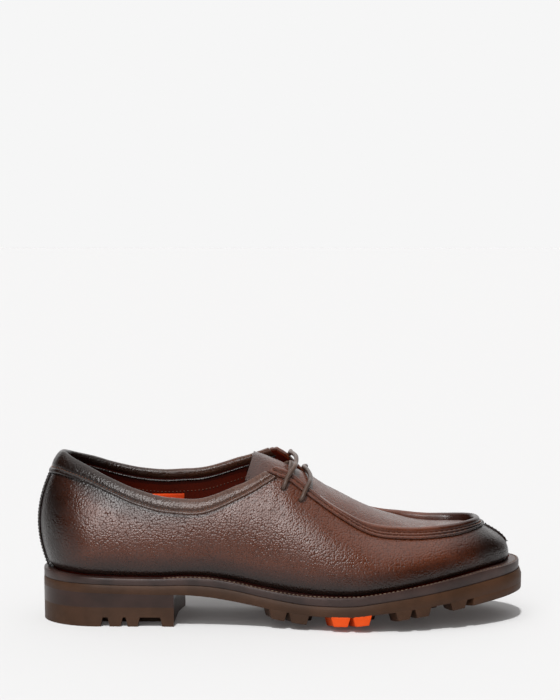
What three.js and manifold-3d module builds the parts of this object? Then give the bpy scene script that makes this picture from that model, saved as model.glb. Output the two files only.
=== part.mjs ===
// Apron toe derby, right shoe: a hollow leather upper with a raised apron seam and two-eyelet flaps, on a
// welted rubber lug sole with a stacked heel. Millimetres, +X to the toe, +Y to the inner (medial) side, +Z up.
import * as THREE from "three";
import { mergeVertices } from "three/addons/utils/BufferGeometryUtils.js";
import Module from "manifold-3d";

const wasm = await Module();
wasm.setup();

const { clamp, smoothstep, degToRad: radians, lerp: mix } = THREE.MathUtils;
const none = () => 0;
const STEP = 0.004; // of a way, for slopes
const MERGE = 1e-4; // points closer than this are one

// Driving dimensions
const LENGTH = 302; // sole, heel to toe
const BALL_WIDTH = 107; // sole across the ball
const HEEL_SEAT_HEIGHT = 20; // floor to the underside of the sole at the heel
const TOE_SPRING = 17.4; // rise of the sole from the ball to the tip of the toe
const EDGE_LIFT = 3.7; // rise of the sole's edges over its middle at the ball
const UPPER_HEIGHT = 72; // welt to the top of the collar at the heel
const WALL = 2.2; // upper leather with its lining
const GAP = 0.3; // between pieces that touch
const OVERLAY_GAP = 0.45; // between the upper's face and what lies on it

// Sole unit
const SOLE_THICK = 6.4;
const LUG_HEIGHT = 5.8;
const LUG_LENGTH = 17;
const LUG_TAPER = 1.8;
const WELT_THICK = 5.2;
const WELT_REACH = 5; // how far the welt stands out from the upper at the waist
const WELT_TRIM = 1.8; // how far the welt stays behind the rubber at the toe
const TOP_LIFT_THICK = 12;
const HEEL_LENGTH = 84;
const BREAST_SKEW = 4; // the heel is longer on the medial side
const BREAST_HOLLOW = 3;
const NOTCH_HEIGHT = 5.8;
const NOTCH_DEPTH = 15;
const NOTCH_TAPER = 1.5;
const INSOLE_RISE = 1.4;

// Overlays, seam and lace
const COLLAR_BAND_WIDTH = 9.2;
const COLLAR_BAND_HEEL_WIDTH = 15;
const COLLAR_BAND_THICK = 1.3;
const SEAM_STRIP_WIDTH = 5.4;
const SEAM_STRIP_TOE_WIDTH = 3.4;
const SEAM_STRIP_THICK = 1.1;
const BACK_STAY_WIDTH = 18;
const BACK_STAY_THICK = 0.9;
const LIP_WIDTH = 4.2;
const LIP_HEIGHT = 3.8;
const LIP_FULL = 0.67; // place along the side where the lip has its full height
const LIP_ROOT = 1.2; // how far below the edge of the side panels the lip starts
const TONGUE_THICK = 2;
const TONGUE_BOW = 5; // how far its back edge runs further back at the sides
const LACE_DIAMETER = 2.4;
const EYELET_CLEARANCE = 0.7;
const EYELET_INSET = 12.6;

// Rounding of the sole's ends, as shares of its length
const HEEL_ROUND = 0.122;
const TOE_ROUND_START = 0.7;
const TOE_ROUND_POWER = 2.35;

// Sole outline: halves as shares of the ball width, middle line likewise
const OUTLINE = [
  { at: 0.0, lateral: 0.318, medial: 0.312, middle: 0.0 },
  { at: 0.12, lateral: 0.318, medial: 0.312, middle: 0.0 },
  { at: 0.25, lateral: 0.322, medial: 0.3, middle: 0.0 },
  { at: 0.36, lateral: 0.33, medial: 0.268, middle: 0.0 },
  { at: 0.44, lateral: 0.352, medial: 0.262, middle: 0.0 },
  { at: 0.52, lateral: 0.405, medial: 0.31, middle: 0.0 },
  { at: 0.6, lateral: 0.468, medial: 0.402, middle: 0.002 },
  { at: 0.68, lateral: 0.497, medial: 0.472, middle: 0.006 },
  { at: 0.76, lateral: 0.488, medial: 0.487, middle: 0.014 },
  { at: 0.85, lateral: 0.462, medial: 0.468, middle: 0.03 },
  { at: 0.93, lateral: 0.43, medial: 0.425, middle: 0.045 },
  { at: 1.0, lateral: 0.4, medial: 0.38, middle: 0.055 },
];

// Sole from the side: shares of the heel's height, of the toe spring and of the edge lift, then the shares of
// their own thickness that the rubber, the welt and the lugs have there
const PROFILE = [
  { at: 0.0, heel: 1.12, spring: 0.0, lift: 0.0, rubber: 0.83, welt: 1.15, lug: 1.0 },
  { at: 0.09, heel: 1.09, spring: 0.0, lift: 0.0, rubber: 0.82, welt: 0.88, lug: 1.0 },
  { at: 0.17, heel: 1.03, spring: 0.0, lift: 0.0, rubber: 0.82, welt: 0.86, lug: 1.0 },
  { at: 0.25, heel: 1.0, spring: 0.0, lift: 0.0, rubber: 0.85, welt: 0.88, lug: 1.0 },
  { at: 0.3, heel: 0.985, spring: 0.0, lift: 0.03, rubber: 0.92, welt: 0.94, lug: 1.0 },
  { at: 0.35, heel: 0.88, spring: 0.0, lift: 0.1, rubber: 1.0, welt: 0.98, lug: 1.0 },
  { at: 0.4, heel: 0.67, spring: 0.0, lift: 0.27, rubber: 1.03, welt: 0.97, lug: 1.0 },
  { at: 0.45, heel: 0.41, spring: 0.0, lift: 0.52, rubber: 0.98, welt: 0.97, lug: 1.0 },
  { at: 0.5, heel: 0.15, spring: 0.0, lift: 0.85, rubber: 0.97, welt: 1.0, lug: 1.0 },
  { at: 0.55, heel: 0.0, spring: 0.0, lift: 1.0, rubber: 0.97, welt: 1.06, lug: 1.0 },
  { at: 0.642, heel: 0.0, spring: 0.0, lift: 1.0, rubber: 1.0, welt: 1.1, lug: 1.0 },
  { at: 0.69, heel: 0.0, spring: 0.107, lift: 1.0, rubber: 1.03, welt: 1.08, lug: 1.0 },
  { at: 0.765, heel: 0.0, spring: 0.3, lift: 0.86, rubber: 1.14, welt: 1.18, lug: 0.95 },
  { at: 0.84, heel: 0.0, spring: 0.523, lift: 0.68, rubber: 1.25, welt: 1.28, lug: 0.88 },
  { at: 0.92, heel: 0.0, spring: 0.774, lift: 0.45, rubber: 1.33, welt: 1.32, lug: 0.8 },
  { at: 1.0, heel: 0.0, spring: 1.0, lift: 0.2, rubber: 1.3, welt: 1.1, lug: 0.78 },
];
const FLAT_SHARE = 0.42; // middle of the ball that stays flat on the floor

// Top edge of the side panels, from the heel round the collar to the flap's corner and down the apron seam.
// at: place along the side; x of the length; y of the ball width; rise of the upper's height above the welt.
// footLean, topLean: degrees from upright, outward at the welt and inward at the top; pulls: shares of the chord.
const CORNER = 0.48;
const LATERAL = [
  { at: 0.0, x: 0.041, y: 0.0, rise: 1.013, footLean: 21, footPull: 0.45, topLean: 30, topPull: 0.35 },
  { at: 0.05, x: 0.044, y: -0.064, rise: 1.019, footLean: 21, footPull: 0.45, topLean: 29, topPull: 0.35 },
  { at: 0.10, x: 0.052, y: -0.115, rise: 1.021, footLean: 21, footPull: 0.44, topLean: 27, topPull: 0.35 },
  { at: 0.15, x: 0.071, y: -0.160, rise: 0.985, footLean: 20, footPull: 0.42, topLean: 24, topPull: 0.35 },
  { at: 0.20, x: 0.103, y: -0.196, rise: 0.929, footLean: 20, footPull: 0.4, topLean: 20, topPull: 0.35 },
  { at: 0.25, x: 0.147, y: -0.232, rise: 0.845, footLean: 19, footPull: 0.38, topLean: 15, topPull: 0.35 },
  { at: 0.30, x: 0.205, y: -0.258, rise: 0.749, footLean: 18, footPull: 0.36, topLean: 12, topPull: 0.35 },
  { at: 0.35, x: 0.272, y: -0.274, rise: 0.680, footLean: 17, footPull: 0.36, topLean: 12, topPull: 0.35 },
  { at: 0.40, x: 0.341, y: -0.280, rise: 0.684, footLean: 15, footPull: 0.35, topLean: 16, topPull: 0.34 },
  { at: 0.45, x: 0.421, y: -0.260, rise: 0.881, footLean: 14, footPull: 0.34, topLean: 26, topPull: 0.32 },
  { at: 0.48, x: 0.486, y: -0.224, rise: 1.094, footLean: 14, footPull: 0.34, topLean: 36, topPull: 0.3 },
  { at: 0.52, x: 0.518, y: -0.221, rise: 1.054, footLean: 13, footPull: 0.34, topLean: 42, topPull: 0.3 },
  { at: 0.55, x: 0.550, y: -0.231, rise: 0.955, footLean: 12, footPull: 0.34, topLean: 44, topPull: 0.32 },
  { at: 0.60, x: 0.613, y: -0.256, rise: 0.753, footLean: 11, footPull: 0.36, topLean: 46, topPull: 0.36 },
  { at: 0.65, x: 0.682, y: -0.271, rise: 0.568, footLean: 11, footPull: 0.38, topLean: 48, topPull: 0.4 },
  { at: 0.70, x: 0.747, y: -0.262, rise: 0.478, footLean: 11, footPull: 0.4, topLean: 52, topPull: 0.42 },
  { at: 0.75, x: 0.798, y: -0.234, rise: 0.428, footLean: 10, footPull: 0.42, topLean: 55, topPull: 0.42 },
  { at: 0.80, x: 0.841, y: -0.198, rise: 0.398, footLean: 9, footPull: 0.43, topLean: 57, topPull: 0.43 },
  { at: 0.85, x: 0.873, y: -0.151, rise: 0.381, footLean: 8, footPull: 0.44, topLean: 59, topPull: 0.43 },
  { at: 0.90, x: 0.894, y: -0.092, rise: 0.370, footLean: 7, footPull: 0.45, topLean: 60, topPull: 0.43 },
  { at: 0.95, x: 0.906, y: -0.026, rise: 0.363, footLean: 6, footPull: 0.45, topLean: 60, topPull: 0.43 },
  { at: 1.0, x: 0.909, y: 0.043, rise: 0.359, footLean: 6, footPull: 0.45, topLean: 60, topPull: 0.43 },
];
const MEDIAL = [
  { at: 0.0, x: 0.041, y: 0.0, rise: 1.013, footLean: 21, footPull: 0.45, topLean: 30, topPull: 0.35 },
  { at: 0.05, x: 0.044, y: 0.064, rise: 1.008, footLean: 21, footPull: 0.45, topLean: 29, topPull: 0.35 },
  { at: 0.10, x: 0.052, y: 0.115, rise: 0.994, footLean: 21, footPull: 0.44, topLean: 27, topPull: 0.35 },
  { at: 0.15, x: 0.071, y: 0.162, rise: 0.970, footLean: 20, footPull: 0.42, topLean: 24, topPull: 0.35 },
  { at: 0.20, x: 0.103, y: 0.201, rise: 0.939, footLean: 18, footPull: 0.4, topLean: 20, topPull: 0.35 },
  { at: 0.25, x: 0.147, y: 0.233, rise: 0.886, footLean: 15, footPull: 0.38, topLean: 15, topPull: 0.35 },
  { at: 0.30, x: 0.205, y: 0.254, rise: 0.838, footLean: 12, footPull: 0.36, topLean: 12, topPull: 0.35 },
  { at: 0.35, x: 0.272, y: 0.267, rise: 0.820, footLean: 12, footPull: 0.36, topLean: 11, topPull: 0.35 },
  { at: 0.40, x: 0.341, y: 0.269, rise: 0.849, footLean: 14, footPull: 0.35, topLean: 14, topPull: 0.34 },
  { at: 0.45, x: 0.421, y: 0.243, rise: 1.020, footLean: 16, footPull: 0.34, topLean: 22, topPull: 0.32 },
  { at: 0.48, x: 0.487, y: 0.196, rise: 1.194, footLean: 16, footPull: 0.34, topLean: 28, topPull: 0.3 },
  { at: 0.52, x: 0.515, y: 0.194, rise: 1.115, footLean: 15, footPull: 0.34, topLean: 36, topPull: 0.3 },
  { at: 0.55, x: 0.546, y: 0.215, rise: 0.996, footLean: 14, footPull: 0.34, topLean: 41, topPull: 0.32 },
  { at: 0.60, x: 0.614, y: 0.262, rise: 0.786, footLean: 11, footPull: 0.36, topLean: 46, topPull: 0.36 },
  { at: 0.65, x: 0.684, y: 0.288, rise: 0.593, footLean: 11, footPull: 0.38, topLean: 48, topPull: 0.4 },
  { at: 0.70, x: 0.750, y: 0.292, rise: 0.496, footLean: 11, footPull: 0.4, topLean: 52, topPull: 0.42 },
  { at: 0.75, x: 0.805, y: 0.271, rise: 0.428, footLean: 10, footPull: 0.42, topLean: 55, topPull: 0.42 },
  { at: 0.80, x: 0.848, y: 0.247, rise: 0.393, footLean: 9, footPull: 0.43, topLean: 57, topPull: 0.43 },
  { at: 0.85, x: 0.877, y: 0.206, rise: 0.376, footLean: 8, footPull: 0.44, topLean: 59, topPull: 0.43 },
  { at: 0.90, x: 0.897, y: 0.155, rise: 0.366, footLean: 7, footPull: 0.45, topLean: 60, topPull: 0.43 },
  { at: 0.95, x: 0.907, y: 0.102, rise: 0.359, footLean: 6, footPull: 0.45, topLean: 60, topPull: 0.43 },
  { at: 1.0, x: 0.909, y: 0.043, rise: 0.359, footLean: 6, footPull: 0.45, topLean: 60, topPull: 0.43 },
];

// Welt in front of the upper and behind the rubber, as shares of its reach and trim
const WELT_EDGES = [
  { at: 0.0, reach: 0.75, trim: 0.1 },
  { at: 0.2, reach: 0.8, trim: 0.2 },
  { at: 0.45, reach: 0.9, trim: 0.3 },
  { at: 0.65, reach: 1.1, trim: 0.5 },
  { at: 0.85, reach: 1.5, trim: 0.9 },
  { at: 1.0, reach: 1.7, trim: 1.0 },
];

// Apron, back to front: its edges below those of the side panels, and its crown over them, as shares of the
// upper's height
const THROAT = 0.56; // place along the side where the flaps come free of the apron
const APRON = [
  { at: 0.56, drop: 0.06, crown: 0.1 },
  { at: 0.6, drop: 0.04, crown: 0.132 },
  { at: 0.64, drop: 0.03, crown: 0.144 },
  { at: 0.675, drop: 0.03, crown: 0.117 },
  { at: 0.714, drop: 0.03, crown: 0.074 },
  { at: 0.75, drop: 0.03, crown: 0.058 },
  { at: 0.8, drop: 0.03, crown: 0.05 },
  { at: 0.87, drop: 0.03, crown: 0.034 },
  { at: 1.0, drop: 0.03, crown: 0.0 },
];

// Tongue, back to front: half width of the ball width; rise of its crown and drop of its sides of the height
const TONGUE = [
  { at: 0.435, half: 0.226, rise: 1.128, drop: 0.2 },
  { at: 0.46, half: 0.217, rise: 1.122, drop: 0.16 },
  { at: 0.487, half: 0.216, rise: 1.104, drop: 0.165 },
  { at: 0.515, half: 0.212, rise: 1.074, drop: 0.17 },
  { at: 0.54, half: 0.194, rise: 1.035, drop: 0.13 },
  { at: 0.556, half: 0.19, rise: 1.003, drop: 0.07 },
];

// Lugs along each edge and down the middle, as shares of the length; half is of the ball width
const EDGE_LUGS = [
  { name: "waist", from: 0.472, to: 0.51 },
  { name: "back", from: 0.513, to: 0.555 },
  { name: "ball_back", from: 0.598, to: 0.638, bright: true },
  { name: "ball_front", from: 0.642, to: 0.681, bright: true },
  { name: "tread_back", from: 0.728, to: 0.763 },
  { name: "tread_front", from: 0.767, to: 0.802 },
  { name: "toe_back", from: 0.84, to: 0.877 },
  { name: "toe", from: 0.889, to: 1.02 },
];
const MIDDLE_LUGS = [
  { from: 0.525, to: 0.565, half: 0.15 },
  { from: 0.585, to: 0.63, half: 0.2 },
  { from: 0.65, to: 0.695, half: 0.2 },
  { from: 0.715, to: 0.76, half: 0.19 },
  { from: 0.785, to: 0.825, half: 0.17 },
];
const HEEL_NOTCHES = [
  { from: 0.132, to: 0.142 },
  { from: 0.173, to: 0.179 },
  { from: 0.208, to: 0.25 },
];

// Eyelets of one flap, and where the lace from each passes over and under the flap's edge: places along the side
const EYELETS = [
  { at: 0.505, over: 0.515, under: 0.522 },
  { at: 0.541, over: 0.549, under: 0.532 },
];
const BAR_ARCH = [2.2, 0]; // rise of the two bars' middles over the tongue
const BAR_BOW = 1; // how far their middles lie in front of their ends

// Numbers of steps in the meshes
const COLLAR_STEPS = 16;
const SEAM_STEPS = 20;
const WALL_STEPS = 6;
const SOLE_STEPS = 34;
const ACROSS_STEPS = 6;
const LACE_SIDES = 6;

// A smooth curve through a table's rows: cubic pieces whose slopes are set by the neighbouring rows
function through(rows, key, at) {
  let i = 0;
  while (i < rows.length - 2 && at > rows[i + 1].at) i++;
  const slope = (k) => {
    const a = rows[Math.max(k - 1, 0)];
    const b = rows[Math.min(k + 1, rows.length - 1)];
    return (b[key] - a[key]) / (b.at - a.at);
  };
  const [a, b] = [rows[i], rows[i + 1]];
  const step = b.at - a.at;
  const t = clamp((at - a.at) / step, 0, 1);
  const h = t * t * (3 - 2 * t);
  const bend = slope(i) * t * (1 - t) ** 2 - slope(i + 1) * t * t * (1 - t);
  return a[key] * (1 - h) + b[key] * h + step * bend;
}

// The sole's heights at a place seen from above
function crossSection(x, y) {
  const s = clamp(x / LENGTH, 0, 1);
  const half = (through(OUTLINE, "lateral", s) + through(OUTLINE, "medial", s)) / 2;
  const off = Math.abs(y / BALL_WIDTH - through(OUTLINE, "middle", s)) / half;
  const rise =
    (HEEL_SEAT_HEIGHT - LUG_HEIGHT) * through(PROFILE, "heel", s) +
    TOE_SPRING * through(PROFILE, "spring", s) +
    EDGE_LIFT * through(PROFILE, "lift", s) * clamp((off - FLAT_SHARE) / (1 - FLAT_SHARE), 0, 1) ** 2;
  return {
    bottom: LUG_HEIGHT + rise,
    rubber: SOLE_THICK * through(PROFILE, "rubber", s),
    welt: WELT_THICK * through(PROFILE, "welt", s),
    lug: LUG_HEIGHT * through(PROFILE, "lug", s),
  };
}

const soleBottom = (x, y) => crossSection(x, y).bottom;

function soleTop(x, y) {
  const { bottom, rubber } = crossSection(x, y);
  return bottom + rubber;
}

function weltTop(x, y) {
  const { bottom, rubber, welt } = crossSection(x, y);
  return bottom + rubber + welt;
}

function lugBottom(x, y) {
  const { bottom, lug } = crossSection(x, y);
  return Math.max(bottom - lug, 0);
}

// Ways round the shoe run from 0 at the heel along the lateral side to 1 at the toe, and on to 2 on the medial
const wrap = (way) => ((way % 2) + 2) % 2;
const isMedial = (way) => wrap(way) > 1;
const placeOf = (way) => (isMedial(way) ? 2 - wrap(way) : wrap(way));
const lengthShare = (way) => (1 - Math.cos(Math.PI * placeOf(way))) / 2;

function outlinePoint(way) {
  const s = lengthShare(way);
  const back = 1 - Math.min(s / HEEL_ROUND, 1);
  const front = Math.max((s - TOE_ROUND_START) / (1 - TOE_ROUND_START), 0);
  const cap = Math.sqrt(1 - back ** 2) * Math.max(1 - front ** TOE_ROUND_POWER, 0) ** (1 / TOE_ROUND_POWER);
  const half = isMedial(way) ? through(OUTLINE, "medial", s) : -through(OUTLINE, "lateral", s);
  return new THREE.Vector2(s * LENGTH, (through(OUTLINE, "middle", s) + half * cap) * BALL_WIDTH);
}

function outward(way) {
  const along = outlinePoint(way + STEP).sub(outlinePoint(way - STEP)).normalize();
  return new THREE.Vector3(along.y, -along.x, 0);
}

function insetPoint(way, inset) {
  const out = outward(way);
  return outlinePoint(way).sub(new THREE.Vector2(out.x, out.y).multiplyScalar(inset));
}

const weltReach = (way) => WELT_REACH * through(WELT_EDGES, "reach", placeOf(way));
const weltTrim = (way) => WELT_TRIM * through(WELT_EDGES, "trim", placeOf(way));

// A value of the side panels' tables, with a sharp turn at the flap's corner
function sideValue(way, key) {
  const place = placeOf(way);
  const rows = isMedial(way) ? MEDIAL : LATERAL;
  return through(
    rows.filter((row) => (place <= CORNER ? row.at <= CORNER : row.at >= CORNER)),
    key,
    place,
  );
}

function topEdge(way) {
  const x = LENGTH * sideValue(way, "x");
  return new THREE.Vector3(x, BALL_WIDTH * sideValue(way, "y"), weltTop(x, 0) + UPPER_HEIGHT * sideValue(way, "rise"));
}

function footEdge(way) {
  const foot = insetPoint(way, weltReach(way));
  return new THREE.Vector3(foot.x, foot.y, weltTop(foot.x, foot.y) + 2 * GAP);
}

// The upper's outer face, from the welt (up 0) to its top edge (up 1)
function wallPoint(way, up) {
  const [foot, top, out] = [footEdge(way), topEdge(way), outward(way)];
  const chord = foot.distanceTo(top);
  const pull = (lean, share) => {
    const angle = radians(sideValue(way, lean));
    const reach = chord * sideValue(way, share);
    return out.clone().multiplyScalar(Math.sin(angle)).setZ(Math.cos(angle)).multiplyScalar(reach);
  };
  const low = foot.clone().add(pull("footLean", "footPull"));
  const high = pull("topLean", "topPull");
  high.set(top.x + high.x, top.y + high.y, top.z - high.z);
  return new THREE.CubicBezierCurve3(foot, low, high, top).getPoint(up);
}

function wallNormal(way, up) {
  const along = wallPoint(way + STEP, up).sub(wallPoint(way - STEP, up));
  const rise = wallPoint(way, Math.min(up + STEP, 1)).sub(wallPoint(way, Math.max(up - STEP, 0)));
  return along.cross(rise).normalize();
}

// The outer face moved out by a distance, or in where it is negative
const wallOffset = (way, up, distance) => wallPoint(way, up).addScaledVector(wallNormal(way, up), distance);

// How far up the wall a line lies that keeps a distance from the top edge
function upBelowTop(way, distance) {
  const steps = 60;
  let travelled = 0;
  let last = wallPoint(way, 1);
  for (let i = steps - 1; i > 0; i--) {
    const next = wallPoint(way, i / steps);
    const leg = next.distanceTo(last);
    if (travelled + leg >= distance) return (i + 1 - (distance - travelled) / leg) / steps;
    travelled += leg;
    last = next;
  }
  return 0;
}

const besideTop = (way, distance, offset) => wallOffset(way, upBelowTop(way, distance), offset);

// Solids from points and triangles
function solidOf(geometry) {
  const bare = new THREE.BufferGeometry();
  bare.setAttribute("position", geometry.getAttribute("position"));
  bare.setIndex(geometry.index);
  const merged = mergeVertices(bare, MERGE);
  const triVerts = [];
  for (let i = 0; i < merged.index.count; i += 3) {
    const [a, b, c] = [0, 1, 2].map((k) => merged.index.getX(i + k));
    if (a !== b && b !== c && c !== a) triVerts.push(a, b, c);
  }
  const vertProperties = merged.getAttribute("position").array;
  return new wasm.Manifold(new wasm.Mesh({ numProp: 3, vertProperties, triVerts: new Uint32Array(triVerts) }));
}

function solidFrom(points, triangles) {
  return solidOf(new THREE.BufferGeometry().setFromPoints(points).setIndex(triangles.flat()));
}

// A closed solid between two faces, each a grid of rows by columns. The front is seen with its columns running
// to the right and its rows upwards. In a ring the last column meets the first.
function shell(front, back, ring = false) {
  const [rows, columns] = [front.length, front[0].length];
  const at = (layer, r, c) => (layer * rows + r) * columns + (c % columns);
  const triangles = [];
  const quad = (a, b, c, d) => triangles.push([a, b, c], [a, c, d]);
  const spans = ring ? columns : columns - 1;
  for (let c = 0; c < spans; c++) {
    for (let r = 0; r < rows - 1; r++) {
      quad(at(0, r, c), at(0, r, c + 1), at(0, r + 1, c + 1), at(0, r + 1, c));
      quad(at(1, r, c), at(1, r + 1, c), at(1, r + 1, c + 1), at(1, r, c + 1));
    }
    quad(at(0, 0, c), at(1, 0, c), at(1, 0, c + 1), at(0, 0, c + 1));
    quad(at(0, rows - 1, c), at(0, rows - 1, c + 1), at(1, rows - 1, c + 1), at(1, rows - 1, c));
  }
  for (let r = 0; r < rows - 1 && !ring; r++) {
    quad(at(0, r, 0), at(0, r + 1, 0), at(1, r + 1, 0), at(1, r, 0));
    quad(at(0, r, spans), at(1, r, spans), at(1, r + 1, spans), at(0, r + 1, spans));
  }
  return solidFrom([...front.flat(), ...back.flat()], triangles);
}

// A closed solid through a row of sections of the same number of points
function sweep(sections) {
  const [count, sides] = [sections.length, sections[0].length];
  const at = (i, k) => i * sides + (k % sides);
  const triangles = [];
  for (let i = 0; i < count - 1; i++)
    for (let k = 0; k < sides; k++) {
      triangles.push([at(i, k), at(i + 1, k), at(i + 1, k + 1)]);
      triangles.push([at(i, k), at(i + 1, k + 1), at(i, k + 1)]);
    }
  for (let k = 1; k < sides - 1; k++) {
    triangles.push([at(0, 0), at(0, k), at(0, k + 1)]);
    triangles.push([at(count - 1, 0), at(count - 1, k + 1), at(count - 1, k)]);
  }
  return solidFrom(sections.flat(), triangles);
}

function grid(rows, columns, point) {
  const shares = (steps) => Array.from({ length: steps + 1 }, (_, k) => k / steps);
  return shares(rows).map((r) => shares(columns).map((c) => point(r, c)));
}

// A band of the upper's own surface, between two distances from its outer face
function wallBand({ from, to, low, high, inner, outer, columns, rows }) {
  const face = (distance) =>
    grid(rows, columns, (r, c) => {
      const way = mix(from, to, c);
      return wallOffset(way, mix(low(way), high(way), r), distance);
    });
  return shell(face(outer), face(inner));
}

// A level layer of the sole, drawn in from the outline and lying between two heights
function layer({ inset, bottom, top }) {
  const face = (height) =>
    grid(SOLE_STEPS, ACROSS_STEPS, (r, c) => {
      const place = insetPoint(r, inset(r)).lerp(insetPoint(2 - r, inset(2 - r)), c);
      return new THREE.Vector3(place.x, place.y, height(place.x, place.y));
    });
  return shell(face(bottom), face(top));
}

// A block whose outline is drawn in x and z, running from one y to another
function block(outline, yFrom, yTo) {
  const shape = new THREE.Shape(outline.map(([x, z]) => new THREE.Vector2(x, z)));
  const geometry = new THREE.ExtrudeGeometry(shape, { depth: Math.abs(yTo - yFrom), bevelEnabled: false });
  return solidOf(geometry.rotateX(Math.PI / 2).translate(0, Math.max(yFrom, yTo), 0));
}

// Upper: side panels, one column of the mesh at each flap's corner
function panelWays() {
  const half = [];
  for (let i = 0; i < COLLAR_STEPS; i++) half.push((CORNER * i) / COLLAR_STEPS);
  for (let i = 0; i < SEAM_STEPS; i++) half.push(mix(CORNER, 1, i / SEAM_STEPS));
  return [...half, 1, ...half.slice(1).reverse().map((way) => 2 - way)];
}

function sidePanels() {
  const ways = panelWays();
  const face = (distance) =>
    Array.from({ length: WALL_STEPS + 1 }, (_, r) => ways.map((way) => wallOffset(way, r / WALL_STEPS, distance)));
  return shell(face(0), face(-WALL), true);
}

// Upper: the apron spans the panels, from the middle of one wall to that of the other
function apronEdge(way) {
  return besideTop(way, UPPER_HEIGHT * through(APRON, "drop", placeOf(way)), -WALL / 2);
}

function apronPoint(place, across, depth) {
  const point = apronEdge(place).lerp(apronEdge(2 - place), across);
  point.z += UPPER_HEIGHT * through(APRON, "crown", place) * 4 * across * (1 - across) - depth;
  return point;
}

function apron() {
  const face = (depth) => grid(SEAM_STEPS, ACROSS_STEPS, (r, c) => apronPoint(mix(THROAT, 1, r), c, depth));
  return shell(face(WALL), face(0));
}

// Upper: lip standing up along the apron seam, rising from nothing in front of the flaps
function lipSection(way) {
  const place = placeOf(way);
  const height = LIP_HEIGHT * (0.1 + 0.9 * smoothstep(place, THROAT, LIP_FULL));
  const [top, out] = [topEdge(way), outward(way)];
  const width = apronEdge(way).distanceTo(apronEdge(2 - way));
  const across = Math.min(LIP_WIDTH / width, 0.5);
  const crown = UPPER_HEIGHT * through(APRON, "crown", place) * 4 * across * (1 - across);
  const beside = (side, up) => top.clone().addScaledVector(out, side).setZ(top.z + up);
  return [
    besideTop(way, LIP_ROOT, 0),
    beside(0.12 * LIP_WIDTH, 0.6 * height),
    beside(-0.06 * LIP_WIDTH, height),
    beside(-0.6 * LIP_WIDTH, height),
    beside(-0.86 * LIP_WIDTH, 0.6 * height),
    beside(-0.86 * LIP_WIDTH, apronEdge(way).z + crown - WALL / 2 - top.z),
    besideTop(way, LIP_ROOT, -1.1 * WALL),
  ];
}

function lip() {
  const from = THROAT + 0.01;
  const steps = 2 * SEAM_STEPS;
  return sweep(Array.from({ length: steps + 1 }, (_, i) => lipSection(mix(from, 2 - from, i / steps))));
}

const eyeletWays = EYELETS.flatMap(({ at }) => [at, 2 - at]);

function eyeletHole(way) {
  const up = upBelowTop(way, EYELET_INSET);
  const radius = LACE_DIAMETER / 2 + EYELET_CLEARANCE;
  const hole = new THREE.CylinderGeometry(radius, radius, 6 * WALL, 12);
  const upright = new THREE.Vector3(0, 1, 0);
  hole.applyQuaternion(new THREE.Quaternion().setFromUnitVectors(upright, wallNormal(way, up)));
  return solidOf(hole.translate(...wallPoint(way, up)));
}

function upper() {
  let solid = sidePanels().add(apron()).add(lip());
  for (const way of eyeletWays) solid = solid.subtract(eyeletHole(way));
  return solid;
}

// Everything on one side of the shoe that lies above the line of the seam strip's lower edge, carried on
// past the flap's corner
function aboveStrip(side, clearance) {
  const wayOf = (place) => (side < 0 ? place : 2 - place);
  const at = (place) => besideTop(wayOf(place), SEAM_STRIP_WIDTH, 0);
  const [corner, front] = [at(CORNER), at(CORNER + 0.05)];
  const line = new THREE.Vector3().subVectors(front, corner).setY(0).normalize();
  const rise = new THREE.Vector3(-line.z, 0, line.x);
  const reach = 4 * COLLAR_BAND_WIDTH;
  const point = (base, along, up) => {
    const p = base.clone().addScaledVector(line, along).addScaledVector(rise, up);
    return [p.x, p.z];
  };
  const outline = [
    point(corner, -reach, -clearance),
    point(front, 0, -clearance),
    point(front, 0, reach),
    point(corner, -reach, reach),
  ];
  return block(outline, side * 2, side * BALL_WIDTH);
}

// Overlays on the upper
const bandWidth = (way) =>
  mix(COLLAR_BAND_HEEL_WIDTH, COLLAR_BAND_WIDTH, smoothstep(placeOf(way), 0.03, 0.27));

function collarBand() {
  const band = wallBand({
    from: -CORNER,
    to: CORNER,
    low: (way) => upBelowTop(way, bandWidth(way)),
    high: () => 1,
    inner: OVERLAY_GAP,
    outer: OVERLAY_GAP + COLLAR_BAND_THICK,
    columns: 2 * COLLAR_STEPS,
    rows: 2,
  });
  return band.subtract(aboveStrip(-1, GAP)).subtract(aboveStrip(1, GAP));
}

const stripWidth = (way) =>
  mix(SEAM_STRIP_WIDTH, SEAM_STRIP_TOE_WIDTH, smoothstep(placeOf(way), 0.78, 0.93));

function seamStrip() {
  const thickness = { inner: OVERLAY_GAP, outer: OVERLAY_GAP + SEAM_STRIP_THICK };
  const start = CORNER + 0.004;
  let strip = wallBand({
    ...thickness,
    from: start,
    to: 2 - start,
    low: (way) => upBelowTop(way, stripWidth(way)),
    high: (way) => upBelowTop(way, (LIP_ROOT + GAP) * smoothstep(placeOf(way), THROAT - 0.02, THROAT)),
    columns: 3 * SEAM_STEPS,
    rows: 1,
  });
  for (const side of [-1, 1]) {
    const ends = [CORNER - 0.05, start + 0.01].map((place) => (side < 0 ? place : 2 - place));
    const end = wallBand({
      ...thickness,
      from: Math.min(...ends),
      to: Math.max(...ends),
      low: (way) => upBelowTop(way, 1.2 * COLLAR_BAND_WIDTH),
      high: () => 1,
      columns: 4,
      rows: 2,
    });
    strip = strip.add(end.intersect(aboveStrip(side, 0)));
  }
  return strip;
}

function backStay() {
  const sample = 0.01;
  const half = (sample * (BACK_STAY_WIDTH / 2)) / Math.abs(outlinePoint(sample).y);
  return wallBand({
    from: -half,
    to: half,
    low: () => 0.01,
    high: (way) => upBelowTop(way, bandWidth(way) + GAP),
    inner: OVERLAY_GAP,
    outer: OVERLAY_GAP + BACK_STAY_THICK,
    columns: 4,
    rows: 6,
  });
}

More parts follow.
